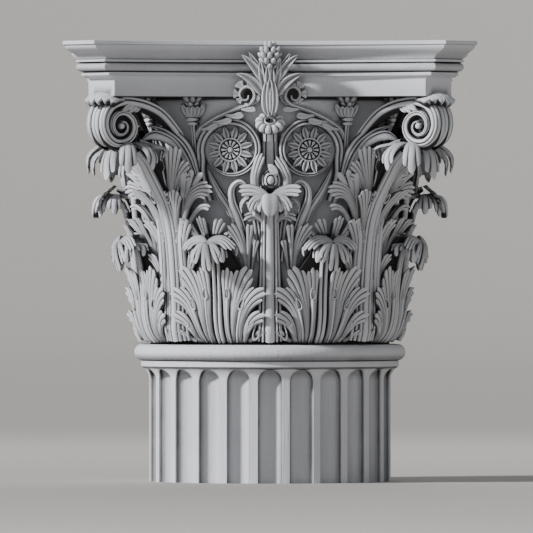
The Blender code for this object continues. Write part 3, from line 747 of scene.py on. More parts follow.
def corner_leaf():
    """The tallest leaf, under a corner, with its head hanging below the volutes."""
    leaf = Carving()
    bed = Bed(CORNER_BED, 45, 460, 75)
    bend = 529
    blade(leaf, bed, [(0, 46), (140, 40), (260, 24), (400, 18), (470, 26), (510, 34), (bend, 24)], -4,
          [(0, 16), (80, 34), (260, 60), (420, 46), (500, 24), (bend, 12)], rows=44)
    pipe(leaf, bed, [(0, 0), (0, 160), (0, 330), (0, bend - 14)], 9, 9, (11, 10), (2, 7), rows=50, columns=11)
    for hand in (1, -1):
        pipe(leaf, bed, [(15, 0), (15, 160), (14, 330), (13, bend - 20)], 4, 4.5, (8, 8), (2, 5), hand=hand,
             rows=48)
        pipe(leaf, bed, [(26, 0), (26, 120), (22, 240), (20, 380)], 4, 3.5, (7, 6), (-1, 3), hand=hand,
             rows=40)
        pipe(leaf, bed, [(37, 0), (38, 80), (36, 150), (44, 230)], 4, 4, (7, 6), (-3, 3), hand=hand, rows=30)
        lobe(leaf, bed, [(18, 240), (28, 310), (40, 352), (74, 392)], 6, 25, 4, (2, 12), lift=8, hand=hand,
             thick=12, rows=22, notch=12, fall=24)
        lobe(leaf, bed, [(26, 150), (34, 222), (44, 270), (74, 304)], 6, 23, 3, (0, 10), lift=8, hand=hand,
             thick=12, rows=20, notch=12, fall=18)
        lobe(leaf, bed, [(38, 90), (46, 150), (54, 190), (76, 214)], 5, 18, 3, (-2, 8), lift=6, hand=hand,
             thick=12, rows=18, notch=10, fall=14)
        drop(leaf, bed, (24, 258), (6, 12), lean=8, level=9, hand=hand)
        drop(leaf, bed, (26, 360), (6, 12), lean=14, level=10, hand=hand)
    head(leaf, 45, 494, 828, [(0, 58, 84, 32, 3, 9), (48, 88, 68, 29, 3, 5), (94, 80, 60, 27, 3, 3),
                              (138, 88, 28, 22, 3, 0)], 50)
    return leaf


def face_of_volute(along):
    """How far a volute's face stands from the diagonal plane, at distances along the diagonal."""
    return np.interp(along, [326, 530, 610], [78.5, 34, 27])


def volute():
    """Half of a corner's pair of volutes, for the front of the right-hand corner."""
    diagonal = np.array([1, -1, 0]) / math.sqrt(2)
    facing = np.array([-1, -1, 0]) / math.sqrt(2)
    phi = np.linspace(0, 4 * math.pi, 25)
    radius = np.interp(phi / (math.pi / 2), range(9), VOLUTE_RADII)
    spiral = np.stack([VOLUTE_EYE[0] + radius * np.sin(phi), VOLUTE_EYE[1] + radius * np.cos(phi)], axis=-1)
    line, run = smooth_path(VOLUTE_STEM + [tuple(p) for p in spiral], 150)
    tangent = np.gradient(line, run, axis=0)
    tangent /= np.linalg.norm(tangent, axis=1)[:, None]
    inward = np.stack([tangent[:, 1], -tangent[:, 0]], axis=-1)
    share = run / run[-1]
    strap = np.interp(share, [0, 0.25, 0.40, 0.55, 0.75, 0.9, 1], [13, 22, 24, 20, 13, 8, 4])
    face = face_of_volute(line[:, 0])
    thick = np.interp(line[:, 0], [326, 400, 500], [22, 26, 60])
    thick = np.minimum(thick, face + 1)
    section = [(0.0, -3, 0.5), (0.03, 0.0, 0.2), (0.10, 2.5, 0), (0.26, 2.8, 0), (0.34, 0.0, 0.6),
               (0.38, -2.5, 1), (0.43, 0.0, 0.5), (0.52, 3.0, 0.05), (0.72, 3.4, 0), (0.88, 1.5, 0.1),
               (0.97, -2, 0.6), (1.0, -6, 1)]
    rim = [(0.97, 1.0), (0.9, -1.0), (0.78, -2.2), (0.64, -1.2), (0.55, 2.5), (0.5, 4.0), (0.45, 2.5),
           (0.36, -1.2), (0.22, -2.2), (0.12, -0.6), (0.05, 1.6)]
    n = np.concatenate([[s[0] for s in section], [1.0, 0.3], [0.0] * len(rim)])
    relief = np.concatenate([[s[1] for s in section], np.zeros(2 + len(rim))])
    depth = np.concatenate([np.zeros(len(section)), [1.0, 1.0], [r[0] for r in rim]])
    ridge = np.concatenate([np.zeros(len(section) + 2), [r[1] for r in rim]])
    cut = np.concatenate([[s[2] for s in section], [1, 1], [max(0.0, 0.12 + r[1] / 4.2) for r in rim]])
    small = np.minimum(1, strap / 18)[:, None]
    edge = line[:, None] + inward[:, None] * (n * strap[:, None] + ridge * small)[..., None]
    away = face_of_volute(edge[..., 0]) + relief * small - depth * thick[:, None]
    points = (edge[..., :1] * diagonal + away[..., None] * facing
              + edge[..., 1:] * np.array([0, 0, 1.0])) * MM
    ends = [points[i].mean(axis=0)[None, None] + 0 * points[:1] for i in (0, -1)]
    scroll = Carving()
    scroll.grid(np.concatenate([ends[0], points, ends[1]]), cut, around=True)
    eye = VOLUTE_EYE[0] * diagonal + np.array([0, 0, VOLUTE_EYE[1]])
    flat = Facet(eye + facing * (face_of_volute(VOLUTE_EYE[0]) - 13), -45)
    dome(scroll, flat, (0, 0), [(60, -10, 1), (58, 0, 0.85), (40, 0.5, 0.8), (14, 0, 0.8), (0, 0, 0.8)], 32)
    front = Facet(eye + facing * face_of_volute(VOLUTE_EYE[0]), -45)
    dome(scroll, front, (0, 0), [(9, -14, 1), (8, -2, 0.3), (6, 2, 0), (3, 3.2, 0), (0, 3.5, 0)], 14)
    for root, tip in (((-62, 60), (-36, 34)), ((-48, 62), (-18, 32)), ((-36, 62), (0, 38))):
        petal(scroll, front, root, tip, 8, (0, 0), 6, bow=4, thick=16, groove=0.2)
    return scroll


def volute_cushion():
    """The rounded fingers of leaf folded over the rim of a corner's volutes."""
    leaf = Carving()
    bed = Bed([(538, 944), (575, 947), (600, 938), (613, 915), (612, 900)], 45, -100, 62, 0.01)
    for x, reach in ((0, 84), (16, 80), (31, 72), (44, 60)):
        for hand in (1, -1) if x else (1,):
            petal(leaf, bed, (x * 0.8, 2), (x, reach), 11.5, (0, 3), 8, thick=14, groove=0.1, point=0.2,
                  hand=hand, face=-1, rows=14, peak=0.68)
    return leaf


def rosette_ring():
    """The inner scroll, which winds once about a rosette, and the rosette."""
    carved = Carving()
    x0, z0 = ROSETTE_MIDDLE
    turn = np.radians(np.linspace(-18, 330, 20))
    radius = np.interp(np.degrees(turn), [-18, 0, 90, 180, 270, 330], [75, 73, 70, 67, 61, 57])
    lead = [(150, 690, 330), (161, 724, 336), (168, 760, 341)]
    loop = [(x0 + r * math.cos(t), z0 + r * math.sin(t), SCROLL_OUT + 4 * math.sin(t))
            for r, t in zip(radius, turn)]
    strand(carved, lead + loop, [12, 12, 11, 10, 9, 8, 7, 5, 1.5], [7, 7, 8, 9, 9, 8, 8, 6, 3], PAIR, 90)
    a = math.asin(x0 / SCROLL_OUT)
    face = Facet((x0, -math.cos(a) * (SCROLL_OUT - 8), z0), 12.5)
    dome(carved, face, (0, 0), [(66, -26, 1), (65, -3, 0.6), (60, -2, 0.42), (30, -1.5, 0.5), (28, -1, 0.8),
                                (0, -1, 0.9)], 40)
    for k in range(ROSETTE_PETALS):
        t = 2 * math.pi * (k + 0.5) / ROSETTE_PETALS
        c, s = math.sin(t), math.cos(t)
        petal(carved, face, (26 * c, 26 * s), (60 * c, 60 * s), 8.4, (1, 2), 6, thick=8, groove=0.5, peak=0.4,
              point=2.0)
        between = t + math.pi / ROSETTE_PETALS
        c, s = math.sin(between), math.cos(between)
        petal(carved, face, (34 * c, 34 * s), (48 * c, 48 * s), 3.2, (-3, -3), 2.0, thick=5, groove=0.1,
              peak=0.6, rows=6)
        petal(carved, face, (9 * c, 9 * s), (24.5 * c, 24.5 * s), 4.0, (2, 2), 4, thick=6, groove=-0.3,
              peak=0.75, rows=6, point=0)
    ring = [(30.5, -1, 1), (30, 3, 0.4), (29, 6.2, 0), (27.5, 6.8, 0), (26, 5.4, 0.2), (25, 2.5, 0.8),
            (24.8, 1, 1), (0, 1, 1)]
    dome(carved, face, (0, 0), ring, 48)
    dome(carved, face, (0, 0), [(8, 0, 1), (7.5, 4, 0.3), (5.5, 7, 0), (3, 8.2, 0), (0, 8.5, 0)], 16)
    return carved


def branch():
    """The branch over a rosette, which ends in a small lobed scroll under the abacus."""
    carved = Carving()
    strand(carved, [(186, 800, 330), (183, 838, 336), (170, 866, 342), (140, 889, 350), (104, 907, 358),
                    (66, 921, 368), (46, 930, 382), (37, 946, 390), (43, 963, 392), (58, 969, 392),
                    (71, 960, 391), (73, 946, 390), (64, 936, 388), (54, 939, 387), (52, 948, 386)],
           [4, 6, 7, 7, 7, 7, 6.5, 6, 5.5, 5, 4.5, 4, 3.5, 3, 2],
           [4, 5, 6, 6, 6, 6, 6, 5, 5, 4, 4, 4, 3, 3, 2], FLAT, 96)
    bed = Front([(780, 335), (860, 348), (900, 360), (930, 370), (960, 376), (1000, 378)])
    for root, tip, half in (((168, 866), (126, 880), 8), ((140, 884), (92, 890), 9),
                            ((108, 900), (62, 902), 9)):
        petal(carved, bed, root, tip, half, (2, 8), 7, bow=-7, thick=12, groove=0.15, peak=0.7, point=0.3,
              rows=10)
    petal(carved, bed, (70, 915), (32, 916), 8, (4, 8), 6, bow=-5, thick=12, groove=0.1, peak=0.7, point=0.3)
    x, z = BRANCH_EYE
    lobes = ((-52, 31, 9), (-20, 34, 12), (26, 34, 12), (74, 41, 13), (126, 38, 13), (176, 35, 12),
             (218, 29, 9))
    for k, (angle, reach, half) in enumerate(lobes):
        c, s = math.cos(math.radians(angle)), math.sin(math.radians(angle))
        low = -3 * (k % 2)
        petal(carved, bed, (x - 16 * c, z + 16 * s), (x - reach * c, z + reach * s), half, (low, low + 3), 7,
              thick=12, groove=0.16, peak=0.72, point=0.1, rows=12)
    dome(carved, bed, (x, z + 1), [(20, -4, 0.7), (19, 6, 0.6), (14, 7, 0.75), (0, 7, 0.85)], 20)
    return carved


def hook_scroll():
    """The small hooked strap between the middle leaf and the stalk."""
    carved = Carving()
    strand(carved, [(58, 560, 322), (64, 610, 330), (77, 650, 338), (92, 690, 345), (92, 722, 350),
                    (76, 738, 352), (60, 732, 352), (53, 718, 350)], [7, 8, 10, 12, 11, 9, 6, 2],
           [6, 7, 8, 10, 10, 9, 7, 3], FOLD, 56)
    strand(carved, [(88, 640, 322), (100, 672, 326), (122, 706, 330), (140, 740, 330), (150, 765, 326)],
           [9, 10, 10, 8, 4], [5, 6, 6, 5, 3], FLAT, 30)
    return carved


def bud():
    """The bud over the middle leaf: drop-shaped rings one inside another, and a flame of leaf."""
    carved = Carving()
    bed = Front([(600, 338), (700, 350), (760, 356), (820, 345)])
    rings = [(1.0, -14, 1), (0.98, 2, 0.5), (0.93, 8, 0), (0.82, 9.5, 0), (0.76, 5, 1), (0.70, 9, 0.3),
             (0.62, 12, 0), (0.50, 12.5, 0), (0.44, 7, 1), (0.36, 11, 0.3), (0.26, 14, 0), (0.0, 15, 0)]
    dome(carved, bed, (2, 741), [(24 * r, h, c) for r, h, c in rings], 32, squeeze=(1.0, 1.24))
    petal(carved, bed, (16, 752), (-5, 780), 10, (13, 15), 6, bow=5, thick=18, groove=0.1, peak=0.5, rows=12)
    for curve, width, fingers, level in (
            ([(-3, 706), (-56, 712), (-38, 760), (-19, 808)], 13, 3, (8, 12)),
            ([(5, 706), (62, 712), (46, 760), (14, 800)], 13, 3, (6, 8))):
        lobe(carved, bed, curve, 6, width, fingers, level, lift=3, thick=18, notch=10, fall=8, rows=28,
             swell=0.5, stem=6, start=0.4)
    strand(carved, [(0, 780, 322), (0, 820, 326), (0, 850, 332), (0, 876, 340)], [22, 20, 20, 19],
           [8, 8, 8, 8], FLAT, 16)
    return carved


def stalk():
    """The stalk that rises from behind the lower leaves and carries the calyx."""
    carved = Carving()
    strand(carved, [(24, 545, 318), (33, 640, 332), (46, 676, 338), (60, 716, 340), (64, 730, 336)],
           [8, 9, 9, 8, 4], [6, 7, 7, 6, 3], PAIR, 30)
    strand(carved, [(205, 470, 330), (212, 540, 336), (216, 600, 342), (213, 650, 346)], [12, 13, 13, 10],
           [9, 10, 10, 8], FLAT, 30)
    return carved


def inner_calyx():
    """The leaf whose lobes lean towards the middle of the face, below a rosette."""
    carved = Carving()
    bed = Front([(600, 335), (640, 344), (700, 358), (756, 372), (780, 374)])
    lobe(carved, bed, [(212, 630), (206, 704), (184, 730), (140, 712)], 9, 31, 5, (0, 8), lift=8, thick=14,
         notch=12, fall=20, rows=26)
    lobe(carved, bed, [(196, 636), (184, 668), (168, 686), (146, 672)], 6, 10, 2, (8, 14), lift=3, thick=12,
         notch=9, fall=4, rows=18)
    for curve, half in (([(214, 630), (214, 690), (214, 730), (211, 760)], 11),
                        ([(210, 640), (208, 700), (198, 740), (191, 768)], 11),
                        ([(206, 650), (196, 706), (184, 742), (165, 760)], 10)):
        lobe(carved, bed, curve, 6, half, 1, (-2, 4), lift=8, thick=12, notch=16, fall=2, rows=20, per=10,
             ridge=4, vein=0.5)
    drop(carved, bed, (231, 724), (7, 15), level=8)
    pipe(carved, bed, [(232, 600), (232, 650), (231, 706)], 4, 4, (7, 7), (2, 6), rows=16)
    pipe(carved, bed, [(244, 600), (243, 650), (240, 706)], 3, 3, (5, 5), (0, 4), rows=16)
    return carved


def outer_calyx():
    """The upright leaf beside a corner, below the volute."""
    carved = Carving()
    bed = Front([(640, 350), (700, 362), (760, 384), (822, 408), (860, 414)])
    lobe(carved, bed, [(244, 690), (242, 740), (239, 780), (236, 826)], 9, 27, 4, (0, 8), lift=10, thick=16,
         notch=12, fall=8, rows=26)
    lobe(carved, bed, [(240, 700), (230, 744), (220, 770), (198, 786)], 7, 19, 3, (-4, 3), lift=6, thick=14,
         notch=11, fall=12, rows=20)
    lobe(carved, bed, [(238, 696), (224, 730), (212, 750), (194, 752)], 6, 12, 2, (-8, -1), lift=6, thick=14,
         notch=9, fall=8, rows=16)
    drop(carved, bed, (265, 778), (7, 13), level=4)
    pipe(carved, bed, [(250, 690), (256, 726), (263, 764)], 5, 4, (8, 7), (-2, 2), rows=18)
    pipe(carved, bed, [(268, 790), (268, 808), (262, 822), (250, 816)], 3, 3, (6, 6), (2, 6), rows=14)
    return carved


def volute_leaves():
    """The long smooth leaves that curl over below a volute."""
    carved = Carving()
    strand(carved, [(184, 740, 352), (206, 792, 372), (232, 830, 396), (262, 848, 420), (290, 850, 440),
                    (316, 834, 452)], [6, 10, 12, 14, 13, 2], [6, 8, 9, 9, 8, 3], FOLD, 40)
    strand(carved, [(176, 740, 348), (194, 796, 364), (216, 832, 386), (246, 856, 408), (272, 868, 424),
                    (296, 874, 436)], [4, 5, 6, 6, 6, 2], [5, 6, 7, 7, 6, 3], PAIR, 36)
    strand(carved, [(172, 745, 346), (186, 800, 360), (204, 834, 376), (230, 858, 392), (258, 876, 408)],
           [3, 4, 5, 5, 2], [4, 5, 6, 5, 3], ROUND, 30)
    return carved


def berry_flower():
    """A small flower of berries on a thin stem, with two collars and a cup of leaves."""
    carved = Carving()
    x, out = 188, 358
    strand(carved, [(178, 770, 340), (183, 815, 340), (186, 850, 343), (188, 882, 350)], [6, 6, 6, 6],
           [5, 5, 5, 5], PAIR, 20)
    bed = Front([(860, out), (1000, out + 14)])
    dome(carved, Facet(seen(x, 880, out - 8), 27), (0, 0),
         [(13, -10, 1), (13, 6, 0.3), (11, 9, 0), (6, 10, 0), (0, 10, 0)], 20, squeeze=(1, 0.38))
    dome(carved, Facet(seen(x, 891, out - 8), 27), (0, 0),
         [(15, -10, 1), (15, 7, 0.3), (13, 10, 0), (7, 11, 0), (0, 11, 0)], 20, squeeze=(1, 0.36))
    for tip, half, bow in ((-27, 8, -5), (-13, 9, -2), (0, 9, 0), (13, 9, 2), (27, 8, 5)):
        side = abs(tip)
        petal(carved, bed, (x + tip * 0.3, 896), (x + tip, 930 if side > 20 else 924), half,
              (2 - side * 0.3, 6 - side * 0.2), 7, bow=bow, thick=14, groove=0.25, peak=0.5)
    cluster(carved, seen(x, 945, out - 2), (20, 27), 4, 7, 6.6, 28)
    return carved


def fleuron():
    """The flower in the middle of a side of the abacus: a ribbed ring, a cup of leaves and berries."""
    carved = Carving()
    ring = Facet((0, -392, 880), 0, 48)
    profile = [(12 * math.cos(t) + 25, 12 * math.sin(t), 0.9 * max(0.0, -math.sin(t)))
               for t in np.linspace(-1.2, 3.4, 12)]
    dome(carved, ring, (0, 0), profile + [(12, -4, 1), (0, -4, 1)], 110, scallops=11)
    dome(carved, ring, (0, 0), [(15, -4, 1), (14.5, 9, 0.3), (12.5, 11, 0), (10.5, 9, 0.3), (9, 4, 1),
                                (0, 3, 1)], 24)
    strand(carved, [(0, 840, 352), (0, 860, 366), (0, 880, 384)], [17, 17, 15], [8, 8, 8], FLAT, 12)
    bed = Front([(870, 402), (900, 406), (960, 418), (1000, 430), (1050, 438), (1080, 440)])
    for root, tip, half, bow, level in (((6, 900), (9, 984), 13, 3, (4, 8)),
                                        ((4, 960), (6, 1020), 8, 0, (2, 6)),
                                        ((14, 965), (24, 1036), 8, 3, (0, 4)),
                                        ((14, 975), (70, 1046), 11, -14, (-2, 8)),
                                        ((17, 980), (52, 1052), 8, -8, (-6, 2)),
                                        ((16, 945), (82, 1000), 12, -22, (-2, 6))):
        for hand in (1, -1):
            petal(carved, bed, root, tip, half, level, 8, bow=bow, thick=20, groove=0.45, peak=0.42,
                  hand=hand, rows=12)
    petal(carved, bed, (0, 896), (0, 990), 11, (4, 9), 8, thick=20, groove=0.5, peak=0.5, rows=12)
    cluster(carved, (0, -430, 1041.5), (25, 35), 5, 8, 6.8, 0)
    return carved


def node(tree, kind, place, **values):
    """A shader node at a place; in_Name or in_1 sets an input, and any other name a setting."""
    made = tree.nodes.new(kind)
    made.location = place
    for key, value in values.items():
        if key.startswith("in_"):
            socket = key[3:]
            made.inputs[int(socket) if socket.isdigit() else socket.replace("_", " ")].default_value = value
        else:
            setattr(made, key, value)
    return made


def feed(tree, made, inputs):
    """Feeds a node's inputs, given as (index, what), from sockets or plain values."""
    for index, value in inputs:
        if isinstance(value, bpy.types.NodeSocket):
            tree.links.new(value, made.inputs[index])
        else:
            made.inputs[index].default_value = value


def mixed(tree, place, factor, first, second):
    """The colour between two others."""
    mix = node(tree, "ShaderNodeMix", place, data_type="RGBA")
    feed(tree, mix, ((0, factor), (6, first), (7, second)))
    return mix.outputs[2]


def math_node(tree, place, operation, first, second, clamp=False):
    """One sum, which gives its socket."""
    made = node(tree, "ShaderNodeMath", place, operation=operation, use_clamp=clamp)
    feed(tree, made, ((0, first), (1, second)))
    return made.outputs[0]


def mapped(tree, place, value, ends, smooth=False):
    """A value taken from one range (first two ends) to another (last two), which gives its socket."""
    made = node(tree, "ShaderNodeMapRange", place)
    if smooth:
        made.interpolation_type = "SMOOTHSTEP"
    feed(tree, made, ((0, value), *enumerate(ends, 1)))
    return made.outputs[0]


def carved_stone_group():
    """Shared by every stone: clouds, grain, pits and tool lines, painted shade where the carving is deep or
    closed in, and a painted highlight on the high parts of the relief.
    """
    group = bpy.data.node_groups.new("weathered_and_shaded_carving", "ShaderNodeTree")
    face = group.interface
    for name, kind, default in (("Stone", "NodeSocketColor", (0.6, 0.61, 0.65, 1)),
                                ("Cloud", "NodeSocketColor", (0.4, 0.41, 0.44, 1)),
                                ("Groove", "NodeSocketColor", (0.03, 0.03, 0.03, 1)),
                                ("Painted highlight", "NodeSocketColor", (0.8, 0.81, 0.84, 1)),
                                ("Cut depth", "NodeSocketFloat", 0.0), ("Shelter", "NodeSocketFloat", 0.0),
                                ("Tooling", "NodeSocketFloat", 0.5)):
        socket = face.new_socket(name, in_out="INPUT", socket_type=kind)
        socket.default_value = default
    for name, kind in (("Color", "NodeSocketColor"), ("Roughness", "NodeSocketFloat"),
                       ("Height", "NodeSocketFloat")):
        face.new_socket(name, in_out="OUTPUT", socket_type=kind)
    given = node(group, "NodeGroupInput", (-1400, 0))
    result = node(group, "NodeGroupOutput", (900, 0))
    place = node(group, "ShaderNodeTexCoord", (-1400, 400))
    clouds = node(group, "ShaderNodeTexNoise", (-1000, 500), in_Scale=7.0, in_Detail=6.0, in_Roughness=0.6)
    grain = node(group, "ShaderNodeTexNoise", (-1000, 250), in_Scale=260.0, in_Detail=4.0, in_Roughness=0.7)
    stretch = node(group, "ShaderNodeMapping", (-1200, 0), in_Scale=(190.0, 190.0, 9.0))
    lines = node(group, "ShaderNodeTexNoise", (-1000, 0), in_Scale=1.0, in_Detail=3.0, in_Roughness=0.6)
    pits = node(group, "ShaderNodeTexVoronoi", (-1000, -250), in_Scale=95.0, in_Randomness=1.0)
    for target in (clouds, grain, stretch, pits):
        group.links.new(place.outputs["Object"], target.inputs["Vector"])
    group.links.new(stretch.outputs[0], lines.inputs["Vector"])
    pit = mapped(group, (-800, -250), pits.outputs["Distance"], (0.0, 0.16, 1.0, 0.0))
    cloud = mapped(group, (-800, 500), clouds.outputs[0], (0.38, 0.68, 0.0, 0.55))
    speck = mapped(group, (-800, 250), grain.outputs[0], (0.35, 0.7, 0.0, 0.3))
    drawn = mapped(group, (-800, 0), lines.outputs[0], (0.42, 0.66, 0.0, 1.0))
    tool = math_node(group, (-600, 0), "MULTIPLY", drawn, given.outputs["Tooling"])
    colour = mixed(group, (-500, 450), cloud, given.outputs["Stone"], given.outputs["Cloud"])
    colour = mixed(group, (-300, 400), speck, colour, given.outputs["Cloud"])
    colour = mixed(group, (-100, 350), math_node(group, (-300, 100), "MULTIPLY", tool, 0.45), colour,
                   given.outputs["Cloud"])
    # Painted highlight: where the cut is near 0, the colour is lightened towards the highlight colour.
    high = mapped(group, (-300, -100), given.outputs["Cut depth"], (0.0, 0.3, 0.5, 0.0))
    colour = mixed(group, (100, 300), high, colour, given.outputs["Painted highlight"])
    # Painted shade: deep cuts and points closed in by other carving are darkened towards the groove colour,
    # with ragged edges from the clouds.
    ragged = math_node(group, (-500, -300), "MULTIPLY_ADD", clouds.outputs[0], 0.25)
    ragged.node.inputs[2].default_value = -0.125
    depth = math_node(group, (-400, -500), "ADD", given.outputs["Cut depth"], ragged)
    deep = mapped(group, (-300, -350), depth, (0.3, 0.8, 0.0, 1.0), True)
    depth = math_node(group, (-400, -750), "ADD", given.outputs["Shelter"], ragged)
    closed = mapped(group, (-300, -650), depth, (0.34, 0.92, 0.0, 0.92), True)
    painted_shade = math_node(group, (-100, -400), "MAXIMUM", deep, closed, True)
    colour = mixed(group, (300, 250), painted_shade, colour, given.outputs["Groove"])
    colour = mixed(group, (500, 200), math_node(group, (300, -100), "MULTIPLY", pit, 0.35), colour,
                   given.outputs["Groove"])
    group.links.new(colour, result.inputs["Color"])
    rough = mapped(group, (500, -100), math_node(group, (300, -250), "ADD", painted_shade, speck, True),
                   (0.0, 1.0, 0.62, 0.86))
    group.links.new(rough, result.inputs["Roughness"])
    relief = math_node(group, (100, -600), "MULTIPLY_ADD", grain.outputs[0], 0.35)
    group.links.new(math_node(group, (0, -800), "MULTIPLY", tool, 0.6), relief.node.inputs[2])
    relief = math_node(group, (300, -600), "SUBTRACT", relief,
                       math_node(group, (200, -800), "MULTIPLY", pit, 0.7))
    group.links.new(relief, result.inputs["Height"])
    return group


def stone(name, group, tooling, sizes):
    """One stone material: the shared weathering, painted shade and painted highlight, with this object's own
    colours.
    """
    made = bpy.data.materials.new(name)
    made.use_nodes = True
    tree = made.node_tree
    shader = tree.nodes["Principled BSDF"]
    shader.inputs["Specular IOR Level"].default_value = 0.35
    worked = node(tree, "ShaderNodeGroup", (-400, 0), node_tree=group)
    for socket, colour in (("Stone", sizes.stone_colour), ("Cloud", sizes.cloud_colour),
                           ("Groove", sizes.shade_and_pit_colour), ("Painted highlight", sizes.highlight_colour)):
        worked.inputs[socket].default_value = (*colour, 1)
    worked.inputs["Tooling"].default_value = tooling
    for attribute, socket, height in (("cut", "Cut depth", -200), ("shelter", "Shelter", -400)):
        depth = node(tree, "ShaderNodeAttribute", (-700, height), attribute_name=attribute)
        tree.links.new(depth.outputs["Fac"], worked.inputs[socket])
    bump = node(tree, "ShaderNodeBump", (-150, -250), in_Strength=0.55, in_Distance=0.0012)
    tree.links.new(worked.outputs["Height"], bump.inputs["Height"])
    tree.links.new(worked.outputs["Color"], shader.inputs["Base Color"])
    tree.links.new(worked.outputs["Roughness"], shader.inputs["Roughness"])
    tree.links.new(bump.outputs[0], shader.inputs["Normal"])
    return made


class ColumnSizes(bpy.types.PropertyGroup):
    """The sizes and colours that a user may change."""

    flutes: IntProperty(name="Flutes", description="How many flutes the shaft has", default=24, min=8)
    flute_depth: FloatProperty(name="Flute depth", description="How deep a flute is cut",
                               default=0.025, min=0.0, subtype="DISTANCE", unit="LENGTH")
    stone_colour: FloatVectorProperty(name="Stone", description="Colour of the bare stone",
                                      default=(0.38, 0.385, 0.405), subtype="COLOR")
    cloud_colour: FloatVectorProperty(name="Cloud", description="Darker colour in its clouds and grain",
                                      default=(0.22, 0.222, 0.235), subtype="COLOR")
    # Colour of the painted shade in deep cuts and closed-in places, and of the pits.
    shade_and_pit_colour: FloatVectorProperty(name="Painted shade", description="Colour of the grime in deep cuts",
                                       default=(0.026, 0.025, 0.025), subtype="COLOR")
    # Colour of the painted highlight on the high parts of the relief.
    highlight_colour: FloatVectorProperty(name="Painted highlight", description="Colour where the relief is given a painted highlight",
                                     default=(0.84, 0.85, 0.90), subtype="COLOR")
    # How far the rays look for carving that closes a point in, for the painted shade.
    shade_reach: FloatProperty(name="Grime reach", description="How near other carving is where grime stays",
                               default=0.07, min=0.0, subtype="DISTANCE", unit="LENGTH")
    backdrop_colour: FloatVectorProperty(name="Backdrop", description="Colour of floor and backdrop",
                                         default=(0.40, 0.39, 0.369), subtype="COLOR")
    key_strength: FloatProperty(name="Key light", description="Strength of the soft sun at the upper left",
                                default=6.2, min=0.0)
    camera_distance: FloatProperty(name="Camera distance", description="From the column's axis",
                                   default=24.0, subtype="DISTANCE", unit="LENGTH")


def around(one, both_hands=True):
    """The carving repeated on the four sides, and mirrored on each where both_hands is set."""
    whole = Carving()
    for quarter in range(4):
        for hand in (1, -1) if both_hands else (1,):
            whole.merge(one.placed(hand, quarter))
    return whole


def only(*carvings):
    """Carvings gathered into one."""
    whole = Carving()
    for carving in carvings:
        whole.merge(carving)
    return whole


class COLUMN_OT_shaft(bpy.types.Operator):
    """Carve the fluted head of the shaft"""
    bl_idname = "column.shaft"
    bl_label = "Fluted shaft"

    def execute(self, context):
        sizes = context.scene.column
        shaft = shaft_head(sizes.flutes, sizes.flute_depth / MM)
        shaft.piece("shaft_head", "shaft_stone", "fluted_shaft", crease=40)
        return {"FINISHED"}


class COLUMN_OT_bell(bpy.types.Operator):
    """Turn the bell that the leaves stand on"""
    bl_idname = "column.bell"
    bl_label = "Bell"

    def execute(self, context):
        bell().piece("bell", "capital_stone", "capital")
        return {"FINISHED"}


class COLUMN_OT_abacus(bpy.types.Operator):
    """Mould the slab on top"""
    bl_idname = "column.abacus"
    bl_label = "Abacus"

    def execute(self, context):
        abacus().piece("abacus", "capital_stone", "capital", crease=32)
        return {"FINISHED"}


class COLUMN_OT_lower_leaves(bpy.types.Operator):
    """Carve the lower tier of leaves"""
    bl_idname = "column.lower_leaves"
    bl_label = "Lower leaves"

    def execute(self, context):
        around(lower_leaf()).piece("lower_leaves", "capital_stone", "capital")
        return {"FINISHED"}


class COLUMN_OT_middle_leaves(bpy.types.Operator):
    """Carve the upper leaves in the middle of each face, and the small leaves beside them"""
    bl_idname = "column.middle_leaves"
    bl_label = "Middle leaves"

    def execute(self, context):
        whole = only(around(middle_leaf(), False), around(face_leaf()), around(crown_leaf()))
        whole.piece("middle_leaves", "capital_stone", "capital")
        return {"FINISHED"}


class COLUMN_OT_corner_leaves(bpy.types.Operator):
    """Carve the tall leaves under the corners"""
    bl_idname = "column.corner_leaves"
    bl_label = "Corner leaves"

    def execute(self, context):
        around(corner_leaf(), False).piece("corner_leaves", "capital_stone", "capital")
        return {"FINISHED"}


class COLUMN_OT_volutes(bpy.types.Operator):
    """Wind the volutes at the corners and fold a leaf over them"""
    bl_idname = "column.volutes"
    bl_label = "Volutes"

    def execute(self, context):
        only(around(volute()), around(volute_cushion(), False)).piece("volutes", "capital_stone", "capital")
        return {"FINISHED"}


class COLUMN_OT_rosettes(bpy.types.Operator):
    """Wind the inner scrolls about their rosettes"""
    bl_idname = "column.rosettes"
    bl_label = "Rosettes"

    def execute(self, context):
        around(rosette_ring()).piece("rosette_scrolls", "capital_stone", "capital")
        return {"FINISHED"}


class COLUMN_OT_stems(bpy.types.Operator):
    """Carve the stalks, branches, hooked straps and buds"""
    bl_idname = "column.stems"
    bl_label = "Stems"

    def execute(self, context):
        whole = only(around(only(branch(), hook_scroll(), stalk())), around(bud(), False))
        whole.piece("stems", "capital_stone", "capital")
        return {"FINISHED"}


class COLUMN_OT_calyx(bpy.types.Operator):
    """Carve the calyx leaves and the long leaves below the volutes"""
    bl_idname = "column.calyx"
    bl_label = "Calyx leaves"

    def execute(self, context):
        whole = around(only(inner_calyx(), outer_calyx(), volute_leaves()))
        whole.piece("calyx_leaves", "capital_stone", "capital")
        return {"FINISHED"}


class COLUMN_OT_flowers(bpy.types.Operator):
    """Carve the berry flowers on the bell and the flower on each side of the abacus"""
    bl_idname = "column.flowers"
    bl_label = "Flowers"

    def execute(self, context):
        around(berry_flower()).piece("berry_flowers", "capital_stone", "capital")
        around(fleuron(), False).piece("abacus_flowers", "capital_stone", "capital")
        return {"FINISHED"}


